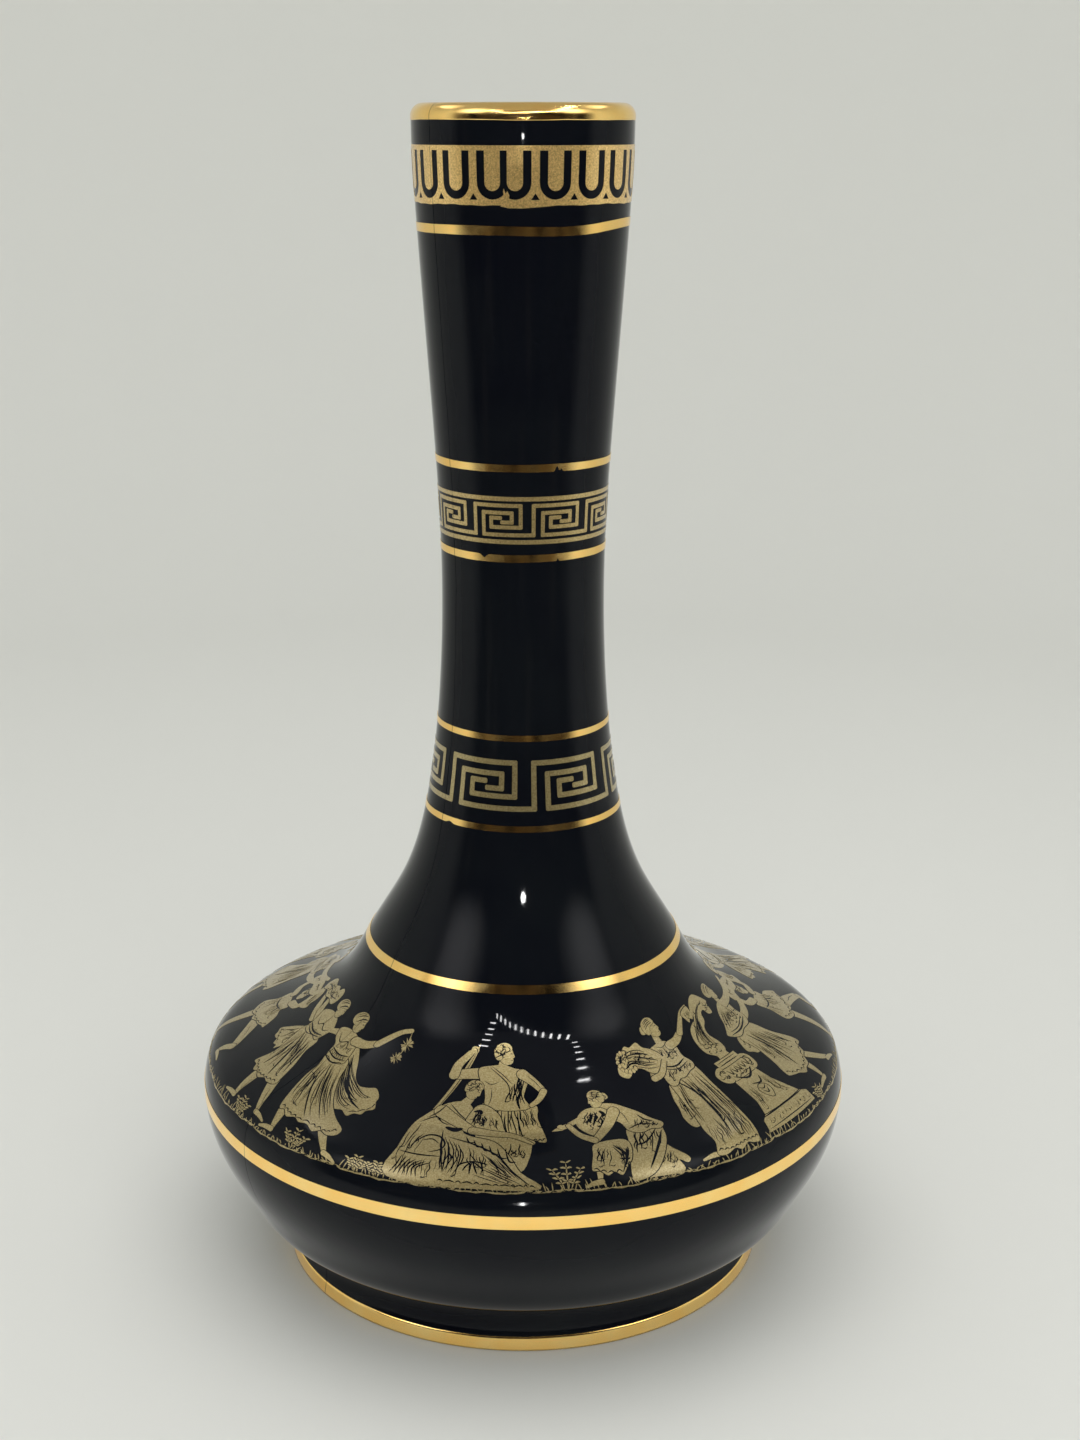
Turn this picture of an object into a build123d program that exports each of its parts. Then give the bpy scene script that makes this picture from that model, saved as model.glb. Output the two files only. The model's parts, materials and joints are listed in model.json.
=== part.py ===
from build123d import *
import os
from math import cos, degrees, radians, sin

os.makedirs("parts", exist_ok=True)

# A hollow, long-necked bottle vase of black-glazed pottery with gold decoration.
# The origin is the centre of the foot on the resting plane, +Z is up and -Y is the front.
# Every length is in millimetres and every angle in degrees. Angles run round the pot
# from the front towards +X.

# ---------------------------------------------------------------- driving dimensions
height = 209.0
belly_radius = 60.0
belly_height = 32.5
neck_radius = 14.45
neck_height = 129.0
lip_radius = 18.85
foot_radius = 44.7
foot_top = 8.6
foot_taper = 1.3              # how far the foot wall leans in up to the belly
foot_recess = 3.6             # depth of the hollow under the foot
foot_ring_width = 4.4
floor_radius = 34.0           # flat part of the inside floor
wall = 4.2                    # pot wall with both coats of glaze
glaze = 0.4                   # one coat of glaze
gold = 0.12                   # one gold film

# Outside of the pot above the foot: underside, belly, shoulder, neck and flared mouth.
mouth_height = height - wall / 2
outline_stations = [
    (foot_radius - foot_taper, foot_top),
    (50.3, 11.2),
    (54.0, 16.4),
    (57.4, 22.6),
    (belly_radius, belly_height),
    (58.2, 39.8),
    (51.9, 43.6),
    (40.8, 48.4),
    (34.0, 53.2),
    (28.6, 61.6),
    (22.2, 72.4),
    (17.1, 90.0),
    (15.0, 109.0),
    (neck_radius, neck_height),
    (16.0, 160.0),
    (18.2, 191.0),
    (lip_radius, mouth_height),
]
underside_slope = (2.6, 1.0)
mouth_slope = (0.0, 1.0)
end_pull = (1.0, 1.0)         # strength of the two end slopes
film_samples = 48             # points that carry a moved copy of the outside

# Hand-painted gold lines: name, lower edge, upper edge.
gold_lines = [
    ("tongue_line", 188.3, 189.8),
    ("upper_key_line_top", 149.3, 150.6),
    ("upper_key_line_bottom", 133.8, 135.1),
    ("lower_key_line_top", 102.1, 103.2),
    ("lower_key_line_bottom", 86.1, 87.2),
    ("shoulder_line", 60.4, 61.8),
    ("belly_line", 32.4, 34.7),
]
lip_gold_bottom = 206.3
foot_gold_top = 2.5

# Tongue band: U-shaped slots cut from a gold band, with a dart between each pair.
tongue_band = (193.0, 202.4)
tongue_slot = (193.95, 201.6)
tongue_stroke = 1.15
tongue_width = 5.4
tongue_count = 18
first_tongue = -4.0           # the strip starts here and its two ends nearly meet
seam_gap = 11.5               # angle between the first tongue and the last one
dart_height = 0.9
dart_width = 1.3

# Key bands: lower edge, upper edge, stroke, angle of one key, left edge of the first key.
upper_keys = (138.15, 143.9, 0.66, 40.0, 7.0)
lower_keys = (89.8, 98.8, 0.92, 55.3, -159.2)
upper_key_count = 9
lower_whole_strands = 5       # the lower strip is cut off at the back, part way into a key
rail_bands = [(136.9, 137.7), (144.4, 145.1)]
# One key strand as fractions of the key's angle and height: it coils out of one key,
# runs along the bottom, climbs and coils into the next.
key_strand = [
    (0.48, 0.43),
    (0.64, 0.43),
    (0.64, 0.75),
    (0.155, 0.75),
    (0.155, 0.0),
    (1.0, 0.0),
    (1.0, 1.0),
    (1.787, 1.0),
    (1.787, 0.26),
    (1.29, 0.26),
    (1.29, 0.575),
    (1.445, 0.575),
]
strip_start = key_strand[5:]
strip_end = key_strand[:7] + [(1.25, 1.0)]

# Figure frieze on the shoulder. An outline is a list of (angle, height up the slope).
ground_radius = 58.9          # plan radius of the ground line
shoulder_shrink = 0.88        # plan radius lost per millimetre up the slope
frieze_copies = 2             # the strip of figures goes twice round the pot
ground_edges = (-0.55, 0.15)  # heights up the slope of the ground line's edges


# ---------------------------------------------------------------- wall section
def meridian(angle):
    """Plane through the pot's axis: x is the radius and y the height."""
    a = radians(angle)
    return Plane(origin=(0, 0, 0), x_dir=(sin(a), -cos(a), 0), z_dir=(-cos(a), -sin(a), 0))


def outside(distance):
    """The outside from the foot to the mouth, moved outwards by a distance."""
    ends = [underside_slope, mouth_slope]
    side = Spline(*outline_stations, tangents=ends, tangent_scalars=end_pull, mode=Mode.PRIVATE)
    if distance == 0:
        add(side)
        return side
    moved = []
    for i in range(film_samples + 1):
        t = i / film_samples
        normal = (side % t).rotate(Axis.Z, -90)
        moved.append(side @ t + normal * distance)
    return Spline(*moved, tangents=[side % 0, side % 1], tangent_scalars=end_pull)


def outer_skin(depth):
    """Foot wall, belly, neck and the outer half of the lip, at a depth under the surface."""
    foot_edge = (foot_radius - depth, 0)
    junction = (foot_radius - foot_taper - depth, foot_top + 0.7 * depth)
    side = outside(-depth)
    if depth == 0:
        Line(foot_edge, side @ 0)
    else:
        Polyline(foot_edge, junction, side @ 0)
    crown = (lip_radius - wall / 2, height - depth)
    TangentArc(side @ 1, crown, tangent=side % 1)
    return foot_edge, crown


def inner_skin(depth):
    """Inner half of the lip, inside of the neck and belly, and the floor, at a depth."""
    side = outside(depth - wall)
    crown = (lip_radius - wall / 2, height - depth)
    TangentArc(side @ 1, crown, tangent=side % 1)
    floor_height = foot_recess + wall - depth
    floor_edge = (floor_radius, floor_height)
    Spline(side @ 0, floor_edge, tangents=[(side % 0) * -1, (-1, 0)], tangent_scalars=end_pull)
    Line(floor_edge, (0, floor_height))
    return crown, (0, floor_height)


with BuildSketch() as biscuit_section:
    with BuildLine():
        foot_edge, _ = outer_skin(glaze)
        _, floor_centre = inner_skin(glaze)
        ring_inside = foot_radius - foot_ring_width + glaze
        ceiling = foot_recess + glaze
        Polyline(floor_centre, (0, ceiling), (ring_inside, ceiling), (ring_inside, 0), foot_edge)
    make_face()

with BuildSketch() as outer_glaze_section:
    with BuildLine():
        surface_foot, surface_crown = outer_skin(0)
        under_foot, under_crown = outer_skin(glaze)
        Line(surface_foot, under_foot)
        Line(surface_crown, under_crown)
    make_face()

with BuildSketch() as inner_glaze_section:
    with BuildLine():
        surface_crown, surface_floor = inner_skin(0)
        under_crown, under_floor = inner_skin(glaze)
        Line(surface_crown, under_crown)
        Line(surface_floor, under_floor)
    make_face()

with BuildSketch() as foot_glaze_section:
    with BuildLine():
        ring_bore = foot_radius - foot_ring_width
        Polyline(
            (0, foot_recess),
            (ring_bore, foot_recess),
            (ring_bore, 0),
            (ring_bore + glaze, 0),
            (ring_bore + glaze, foot_recess + glaze),
            (0, foot_recess + glaze),
            close=True,
        )
    make_face()

with BuildSketch() as film_section:
    with BuildLine():
        under = outside(0)
        over = outside(gold)
        Line(under @ 0, over @ 0)
        Line(under @ 1, over @ 1)
    make_face()

with BuildSketch() as lip_film_section:
    lip_centre = (lip_radius - wall / 2, mouth_height)
    with Locations(lip_centre):
        Circle(wall / 2 + gold)
        Circle(wall / 2, mode=Mode.SUBTRACT)
    with Locations((lip_centre[0], mouth_height + wall)):
        Rectangle(4 * wall, 2 * wall, mode=Mode.INTERSECT)
    add(film_section.sketch)
    with BuildLine():
        under = outside(-wall)
        over = outside(-wall - gold)
        Line(under @ 0, over @ 0)
        Line(under @ 1, over @ 1)
    make_face()
    with Locations((lip_centre[0], lip_gold_bottom + wall)):
        Rectangle(4 * wall, 2 * wall, mode=Mode.INTERSECT)


# ---------------------------------------------------------------- pot and its glaze
with BuildPart() as ceramic_body:
    with BuildSketch(meridian(0)):
        add(biscuit_section.sketch)
    revolve(axis=Axis.Z)

with BuildPart() as outer_glaze:
    with BuildSketch(meridian(0)):
        add(outer_glaze_section.sketch)
    revolve(axis=Axis.Z)

with BuildPart() as inner_glaze:
    with BuildSketch(meridian(0)):
        add(inner_glaze_section.sketch)
    revolve(axis=Axis.Z)

with BuildPart() as foot_glaze:
    with BuildSketch(meridian(0)):
        add(foot_glaze_section.sketch)
    revolve(axis=Axis.Z)

pieces = {
    "ceramic_body": ceramic_body,
    "outer_glaze": outer_glaze,
    "inner_glaze": inner_glaze,
    "foot_glaze": foot_glaze,
}


# ---------------------------------------------------------------- painted gold
def film_slice(bottom, top):
    """Section of the gold film between two heights."""
    with BuildSketch() as section:
        add(film_section.sketch)
        with Locations((belly_radius, (bottom + top) / 2)):
            Rectangle(2 * belly_radius, top - bottom, mode=Mode.INTERSECT)
    return section.sketch


def gold_ring(bottom, top):
    """A gold line all the way round the outside."""
    with BuildPart() as ring:
        with BuildSketch(meridian(0)):
            add(film_slice(bottom, top))
        revolve(axis=Axis.Z)
    return ring


with BuildPart() as lip_gold:
    with BuildSketch(meridian(0)):
        add(lip_film_section.sketch)
    revolve(axis=Axis.Z)
pieces["lip_gold"] = lip_gold

for line_name, bottom, top in gold_lines:
    pieces[line_name] = gold_ring(bottom, top)

with BuildPart() as foot_gold:
    with BuildSketch(meridian(0)):
        with BuildLine():
            lean = foot_taper * foot_gold_top / foot_top
            Polyline(
                (foot_radius, 0),
                (foot_radius + gold, 0),
                (foot_radius + gold - lean, foot_gold_top),
                (foot_radius - lean, foot_gold_top),
                close=True,
            )
        make_face()
    revolve(axis=Axis.Z)
pieces["foot_gold"] = foot_gold


# ---------------------------------------------------------------- tongue band
def facing(angle, z):
    """Plane on the axis that looks outwards: x runs round the pot and y up."""
    a = radians(angle)
    return Plane(origin=(0, 0, z), x_dir=(cos(a), sin(a), 0), z_dir=(sin(a), -cos(a), 0))


tongue_pitch = (360 - seam_gap) / (tongue_count - 1)
slot_bottom, slot_top = tongue_slot
slot_leg = slot_top - slot_bottom - tongue_width / 2
film_reach = lip_radius + 2 * gold

with BuildPart() as tongue_frieze:
    add(gold_ring(*tongue_band).part)
    for i in range(tongue_count):
        with BuildSketch(facing(first_tongue + i * tongue_pitch, slot_top)):
            for width, mode in [(tongue_width, Mode.ADD), (tongue_width - 2 * tongue_stroke, Mode.SUBTRACT)]:
                with Locations((0, -slot_leg / 2)):
                    Rectangle(width, slot_leg, mode=mode)
                with Locations((0, -slot_leg)):
                    Circle(width / 2, mode=mode)
        extrude(amount=film_reach, mode=Mode.SUBTRACT)
    for i in range(tongue_count - 1):
        with BuildSketch(facing(first_tongue + (i + 0.5) * tongue_pitch, slot_bottom)):
            with BuildLine():
                Polyline((-dart_width / 2, 0), (dart_width / 2, 0), (0, dart_height), close=True)
            make_face()
        extrude(amount=film_reach, mode=Mode.SUBTRACT)
pieces["tongue_frieze"] = tongue_frieze


# ---------------------------------------------------------------- key bands
def key_strip(path, key, bottom, top, stroke, pitch, first, radius):
    """A printed key strand, or part of one: a run of bars bent round the neck."""
    half = stroke / 2
    half_angle = degrees(half / radius)
    rise = top - bottom - stroke
    left_edge = first + key * pitch
    with BuildPart() as strand:
        for start, end in zip(path, path[1:]):
            left, right = sorted([left_edge + start[0] * pitch, left_edge + end[0] * pitch])
            low, high = sorted([bottom + half + start[1] * rise, bottom + half + end[1] * rise])
            with BuildSketch(meridian(left - half_angle)):
                add(film_slice(low - half, high + half))
            revolve(axis=Axis.Z, revolution_arc=right - left + 2 * half_angle)
    return strand


upper_strand = key_strip(key_strand, 0, *upper_keys, neck_radius)
with BuildPart() as upper_key_band:
    with PolarLocations(0, upper_key_count):
        add(upper_strand.part)
pieces["upper_key_band"] = upper_key_band

lower_neck_radius = 16.0
lower_strand = key_strip(key_strand, 0, *lower_keys, lower_neck_radius)
with BuildPart() as lower_key_band:
    for key in range(lower_whole_strands):
        add(lower_strand.part.rotate(Axis.Z, key * lower_keys[3]))
    add(key_strip(strip_start, -1, *lower_keys, lower_neck_radius).part)
    add(key_strip(strip_end, lower_whole_strands, *lower_keys, lower_neck_radius).part)
pieces["lower_key_band"] = lower_key_band

with BuildPart() as upper_key_rails:
    for bottom, top in rail_bands:
        add(gold_ring(bottom, top).part)
pieces["upper_key_rails"] = upper_key_rails


# ---------------------------------------------------------------- figure frieze
youth = [
    (-92, 0.2), (-89, 0.2), (-89.2, 5), (-88.2, 9.5), (-85, 9.8), (-80.5, 6), (-81, 2.2), (-77.5, 2),
    (-76.3, 5.6), (-79, 9), (-80.5, 12), (-82, 14.8), (-85.5, 16), (-84, 18), (-82.4, 20.3),
    (-84.5, 22.4), (-86, 23.6), (-90, 24.2), (-95, 23.4), (-97, 21.4), (-95.5, 19.8), (-93, 19),
    (-93, 15), (-94.5, 11.5), (-92.2, 9.5), (-92.4, 3),
]
drum_dancer = [
    (-66, 1.2), (-60.8, 1.2), (-61.3, 6.8), (-57, 6.8), (-55.5, 1.6), (-51.5, 1.2), (-54, 3.2),
    (-54.6, 7.2), (-56.3, 9), (-58.2, 14.5), (-60.4, 19), (-61.2, 22.8), (-63.5, 25), (-62.3, 26.5),
    (-62.6, 28), (-66.5, 28.4), (-69.3, 26), (-67.8, 24.4), (-71, 23.8), (-74.5, 25.2), (-71.6, 27.4),
    (-74, 28.6), (-83.5, 28.2), (-86, 26.5), (-84, 23.5), (-82, 20), (-79.6, 21), (-82, 24.6),
    (-77.5, 22.4), (-72.5, 19.2), (-71, 17.6), (-75, 15.2), (-69.5, 12.8), (-67.6, 8.4), (-64.6, 7),
    (-63.6, 2.6),
]
garland_dancer = [
    (-50.6, 0.4), (-46.9, 0.4), (-46.8, 4.6), (-40.5, 4.4), (-38.2, 3.4), (-36.2, 1), (-32.8, 0.5),
    (-35, 4.4), (-34.6, 6.4), (-38.4, 10.2), (-36.2, 9.6), (-32.3, 11.6), (-31.6, 14), (-33.2, 15.4),
    (-39, 15.6), (-44, 19.8), (-47, 22.3), (-41.5, 23.8), (-38, 27), (-35.4, 26.6), (-35.2, 23),
    (-33.6, 23.4), (-33.4, 28), (-36.5, 29.3), (-40.4, 27.8), (-43.6, 25.2), (-49.4, 24.7),
    (-50, 26.5), (-50.6, 28.2), (-54.5, 28.6), (-57.8, 26.4), (-56, 24.8), (-58.5, 23.8), (-60.2, 22.6),
    (-57, 21.2), (-54.6, 19.4), (-53.4, 17), (-52.4, 12), (-51, 8), (-49, 4.6), (-48.8, 1.8),
]
staff_bearer = [
    (-22.6, 0.2), (2.4, 0.2), (-0.4, 3.6), (1.3, 6.4), (1.9, 9.4), (4.3, 9.6), (3.4, 14), (1.6, 16.8),
    (3.6, 18.2), (4.9, 20.2), (3, 22.4), (0.4, 24.6), (-3.4, 25.2), (-2.4, 27), (-2.4, 28.6),
    (-5.4, 29.4), (-8.3, 28), (-8.2, 26), (-9.5, 25), (-13, 24.2), (-12.2, 28), (-13.6, 28.8),
    (-16.6, 25.8), (-18.4, 22.6), (-17, 21), (-19.6, 13.8), (-21.7, 10.6), (-22.3, 5),
]
piper = [
    (10.4, 0.2), (27.8, 0.2), (28.6, 2.2), (26.6, 5), (27.2, 9.6), (25.6, 12.4), (23.2, 15), (20.6, 16),
    (19.6, 17.6), (18.4, 18.8), (15.4, 19.2), (13.3, 17.8), (13, 15.8), (10.6, 14.6), (8, 12.4),
    (5.6, 11.8), (6.4, 10.8), (9, 11), (10.4, 9.4), (13.4, 8.2), (12.4, 6), (11.6, 3.2), (12, 1.6),
]
horn_bearer = [
    (32, 0.8), (43.6, 0.8), (44.4, 8), (44.6, 18.5), (44.2, 22.4), (47.6, 23.8), (51, 26.4),
    (56.4, 26.2), (58.8, 28.6), (54.6, 29.4), (50.2, 27.8), (46.4, 25.6), (42.6, 25.8), (43.4, 28.8),
    (41.2, 30.4), (38, 30.2), (36.8, 28.6), (38.8, 26.6), (38.4, 25.2), (36, 24.8), (33, 26.2),
    (29, 26.2), (26.4, 24.4), (24.8, 21.6), (26.8, 20.4), (30.6, 21), (31.8, 18.4), (34.6, 18.2),
    (33.4, 13), (33.2, 9), (34.4, 5), (33.2, 1.8),
]
altar = [
    (46.6, 1), (62.2, 1), (61.8, 3.4), (60, 4.2), (58.2, 8), (57.6, 12), (60, 14.4), (59.6, 15.6),
    (58, 16), (58, 17.2), (50, 17.2), (50, 15.9), (47.4, 15.2), (47.2, 14.2), (49.6, 12), (49.2, 8),
    (48, 4.4), (46.6, 3.4),
]
smoke = [
    (52, 17.4), (57.4, 17.4), (58, 20), (56.4, 22.4), (58.5, 23.6), (62, 25.4), (65.5, 25), (69, 26),
    (69.6, 27.4), (66, 29.2), (62.4, 29.2), (59.6, 27.6), (57.4, 25.8), (53, 24.4), (51, 21.6),
    (51.6, 19.2),
]
pouring_figure = [
    (66.6, 0.8), (71.4, 0.8), (70.8, 4.4), (73, 4.6), (76, 2.4), (79.6, 1.8), (79.6, 2.8), (76.4, 4.2),
    (74, 6.4), (76.8, 9.6), (75.4, 13), (74, 17.6), (81, 18.9), (87, 22), (90.5, 26.4), (86, 26.4),
    (80, 25.2), (77.6, 25.6), (78.8, 28), (76.6, 29.6), (73.6, 29), (72.4, 26.8), (73.4, 25),
    (69, 23.2), (63, 19.8), (65.6, 18.8), (62.6, 16.6), (64.6, 14), (63.8, 10.5), (62.4, 7.4),
    (66, 5.4), (68.8, 4.8), (69, 2.2),
]
# Plants on the ground line: angle, width in degrees and height of each spray of leaves.
sprays = [(-58, 4.0, 2.6), (-42, 5.0, 3.0), (-28.6, 3.0, 2.0), (7.4, 5.6, 4.2), (64, 3.4, 2.4)]
spray_leaves = 3


def on_shoulder(angle, rise):
    """Plan position of a point on the shoulder, given how far up the slope it is."""
    radius = ground_radius - shoulder_shrink * rise
    return radius * sin(radians(angle)), -radius * cos(radians(angle))


with BuildPart() as shoulder_film:
    with BuildSketch(meridian(0)):
        add(film_slice(36.0, 60.0))
    revolve(axis=Axis.Z)


def transfer(*outlines):
    """Gold print on the shoulder: outlines in plan, dropped on to the film, all round the pot."""
    with BuildPart() as print_film:
        with BuildSketch(Plane.XY):
            for outline in outlines:
                with BuildLine():
                    Polyline(*[on_shoulder(*point) for point in outline], close=True)
                make_face()
        extrude(amount=height)
        add(shoulder_film.part, mode=Mode.INTERSECT)
    with BuildPart() as all_round:
        with PolarLocations(0, frieze_copies):
            add(print_film.part)
    return all_round


def spray(angle, width, rise):
    """Outline of a plant: pointed leaves fanned out of one root."""
    points = [(angle + width / 6, 0.3), (angle - width / 6, 0.3)]
    for i in range(spray_leaves):
        lean = (i / (spray_leaves - 1) - 0.5) * width
        reach = rise * (1 - 0.6 * abs(lean) / width)
        points.append((angle + lean, reach))
        points.append((angle + lean + width / (2 * spray_leaves), 0.45 * rise))
    return points[:-1]


pieces["youth_transfer"] = transfer(youth)
pieces["drum_dancer_transfer"] = transfer(drum_dancer)
pieces["garland_dancer_transfer"] = transfer(garland_dancer)
pieces["staff_bearer_transfer"] = transfer(staff_bearer)
pieces["piper_transfer"] = transfer(piper)
pieces["horn_bearer_transfer"] = transfer(horn_bearer)
pieces["altar_transfer"] = transfer(altar)
pieces["smoke_transfer"] = transfer(smoke)
pieces["pouring_figure_transfer"] = transfer(pouring_figure)
pieces["plants_transfer"] = transfer(*[spray(*plant) for plant in sprays])

low_edge, high_edge = ground_edges
with BuildPart() as ground_transfer:
    with BuildSketch(Plane.XY):
        Circle(ground_radius - shoulder_shrink * low_edge)
        Circle(ground_radius - shoulder_shrink * high_edge, mode=Mode.SUBTRACT)
    extrude(amount=height)
    add(shoulder_film.part, mode=Mode.INTERSECT)
pieces["ground_transfer"] = ground_transfer


# ---------------------------------------------------------------- write the pieces
for name, piece in pieces.items():
    piece.part.label = name
    export_step(piece.part, "parts/" + name + ".step")
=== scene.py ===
import json
import math
import random

import bpy
import numpy as np
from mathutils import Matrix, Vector
from mathutils.geometry import delaunay_2d_cdt


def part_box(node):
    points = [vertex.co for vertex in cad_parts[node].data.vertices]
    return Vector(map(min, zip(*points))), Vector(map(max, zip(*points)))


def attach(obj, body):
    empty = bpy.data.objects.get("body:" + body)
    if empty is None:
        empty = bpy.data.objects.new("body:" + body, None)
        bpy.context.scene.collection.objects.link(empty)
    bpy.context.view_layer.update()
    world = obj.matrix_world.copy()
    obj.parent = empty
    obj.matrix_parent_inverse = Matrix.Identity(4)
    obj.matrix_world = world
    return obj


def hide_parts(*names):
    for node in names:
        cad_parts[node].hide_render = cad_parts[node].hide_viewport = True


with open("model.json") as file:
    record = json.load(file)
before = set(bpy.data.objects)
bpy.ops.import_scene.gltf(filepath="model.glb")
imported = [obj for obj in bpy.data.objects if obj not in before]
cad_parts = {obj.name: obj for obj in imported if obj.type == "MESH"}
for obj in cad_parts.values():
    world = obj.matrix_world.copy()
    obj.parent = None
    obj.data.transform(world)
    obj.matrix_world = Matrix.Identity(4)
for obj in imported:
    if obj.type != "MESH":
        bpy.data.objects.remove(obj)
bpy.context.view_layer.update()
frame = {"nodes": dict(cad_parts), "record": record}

MM = 0.001
FULL_TURN = 2 * math.pi

COAT = 0.4 * MM        # thickness of the outer glaze
PAINT = 0.07 * MM      # how far brushed gold stands off the glaze
PRINT = 0.05 * MM      # how far printed gold stands off the glaze
SINK = 0.02 * MM       # how deep the back of both is let into the glaze
LINE_STEPS = 900       # points round a painted line
LINE_ROWS = 6          # points across a painted line


# ================================================================ the pot's outline
def outermost_points(node, spacing):
    """Points (height, radius) where a CAD node's own surface faces outwards, low to high.

    A ray cast inwards at each vertex meets the outermost surface first.
    """
    cad = frame["nodes"][node]
    same_spot = 0.1 * MM
    seen = {}
    for vertex in cad.data.vertices:
        x, y, z = vertex.co
        radius = math.hypot(x, y)
        key = (round(z / spacing), round(radius / spacing))
        if key in seen or radius < MM:
            continue
        hit, place, _, _ = cad.ray_cast(Vector((3 * x, 3 * y, z)), Vector((-x, -y, 0)).normalized())
        if hit and abs(math.hypot(place.x, place.y) - radius) < same_spot:
            seen[key] = (z, radius)
    return sorted(seen.values())


def thinned(points, spacing):
    """The points with close neighbours dropped, but always with the last one."""
    kept = [points[-1]]
    for point in points[-2::-1]:
        if math.dist(point, kept[-1]) > spacing:
            kept.append(point)
    return kept[::-1]


class Outline:
    """The outside of the pot, as a smooth curve through points of the CAD surface."""

    def __init__(self, points):
        self.z, self.r = np.array(points).T
        self.arc = np.concatenate([[0], np.cumsum(np.hypot(np.diff(self.z), np.diff(self.r)))])
        self.bend_z = self.bending(self.z)
        self.bend_r = self.bending(self.r)

    def bending(self, values):
        """Second derivatives of the natural cubic spline through the values, over arc length."""
        h = np.diff(self.arc)
        n = len(values)
        matrix = np.eye(n)
        right = np.zeros(n)
        for i in range(1, n - 1):
            matrix[i, i - 1:i + 2] = h[i - 1], 2 * (h[i - 1] + h[i]), h[i]
            right[i] = 6 * ((values[i + 1] - values[i]) / h[i] - (values[i] - values[i - 1]) / h[i - 1])
        return np.linalg.solve(matrix, right)

    def spline(self, s, values, bends):
        i = np.clip(np.searchsorted(self.arc, s) - 1, 0, len(self.arc) - 2)
        h = self.arc[i + 1] - self.arc[i]
        a = (self.arc[i + 1] - s) / h
        b = 1 - a
        curved = ((a**3 - a) * bends[i] + (b**3 - b) * bends[i + 1]) * h * h / 6
        return a * values[i] + b * values[i + 1] + curved

    def at_arc(self, s):
        """Height, radius, and the outward normal's radial and upward parts, at arc lengths s."""
        s = np.asarray(s, float)
        step = 0.05 * MM
        z = self.spline(s, self.z, self.bend_z)
        r = self.spline(s, self.r, self.bend_r)
        dz = self.spline(s + step, self.z, self.bend_z) - z
        dr = self.spline(s + step, self.r, self.bend_r) - r
        length = np.hypot(dz, dr)
        return z, r, dz / length, -dr / length

    def arc_of(self, z):
        return np.interp(z, self.z, self.arc)


FOOT_WALL_TOP = 8.7 * MM
OUTLINE_START = 8.5 * MM
ABOVE_BELLY = 150 * MM
POINT_SPACING = 1.6 * MM

surface_points = outermost_points("outer_glaze", 0.2 * MM)
foot_wall = [p for p in surface_points if p[0] < FOOT_WALL_TOP]
mouth_point = max((p for p in surface_points if p[0] > ABOVE_BELLY), key=lambda p: p[1])
outer_wall = [p for p in surface_points if OUTLINE_START < p[0] <= mouth_point[0]]
outline = Outline(thinned(outer_wall, POINT_SPACING))
lip_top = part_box("outer_glaze")[1].z
mouth = Vector((outline.r[-1], outline.z[-1]))
lip_roundness = lip_top - mouth.y


# ================================================================ meshes
node_slot = {row["node"]: row["material_slot"] for row in frame["record"]["subparts"]}


def add_mesh(name, vertices, faces, material):
    """A new object with a mesh of its own."""
    mesh = bpy.data.meshes.new(name)
    mesh.from_pydata([tuple(v) for v in vertices], [], [tuple(f) for f in faces])
    thing = bpy.data.objects.new(name, mesh)
    bpy.context.scene.collection.objects.link(thing)
    mesh.materials.append(material)
    return thing


def make_smooth(mesh):
    for polygon in mesh.polygons:
        polygon.use_smooth = True


def make_piece(name, vertices, faces, material, replaced, normals=None):
    """A mesh piece that rides on the pot and stands for the CAD nodes named in replaced."""
    piece = add_mesh(name, vertices, faces, material)
    piece.data.validate()
    make_smooth(piece.data)
    if normals is not None:
        piece.data.normals_split_custom_set_from_vertices([tuple(n) for n in normals])
    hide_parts(*replaced)
    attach(piece, "root")


def ring_faces(rings, segments, closed=False):
    """Quads between neighbouring rings of points; closed also joins the last ring to the first."""
    faces = []
    for i in range(rings if closed else rings - 1):
        low, high = i * segments, (i + 1) % rings * segments
        for j in range(segments):
            k = (j + 1) % segments
            faces.append((low + j, low + k, high + k, high + j))
    return faces


def lathe(profile, segments):
    """Vertices and faces of a closed section turned round the axis."""
    around = np.arange(segments) * FULL_TURN / segments
    profile = np.array(profile)
    vertices = np.stack([
        np.outer(profile[:, 1], np.sin(around)),
        -np.outer(profile[:, 1], np.cos(around)),
        np.outer(profile[:, 0], np.ones(segments)),
    ], -1).reshape(-1, 3)
    return vertices, ring_faces(len(profile), segments, closed=True)


def on_pot(angle, arc, lift):
    """Positions and normals on the outside, lifted off the glaze. Angle 0 is the front."""
    z, r, out, up = outline.at_arc(arc)
    sine, cosine = np.sin(angle), -np.cos(angle)
    place = np.stack([(r + out * lift) * sine, (r + out * lift) * cosine, z + up * lift], -1)
    normal = np.stack([out * sine, out * cosine, up], -1)
    return place, normal


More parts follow.
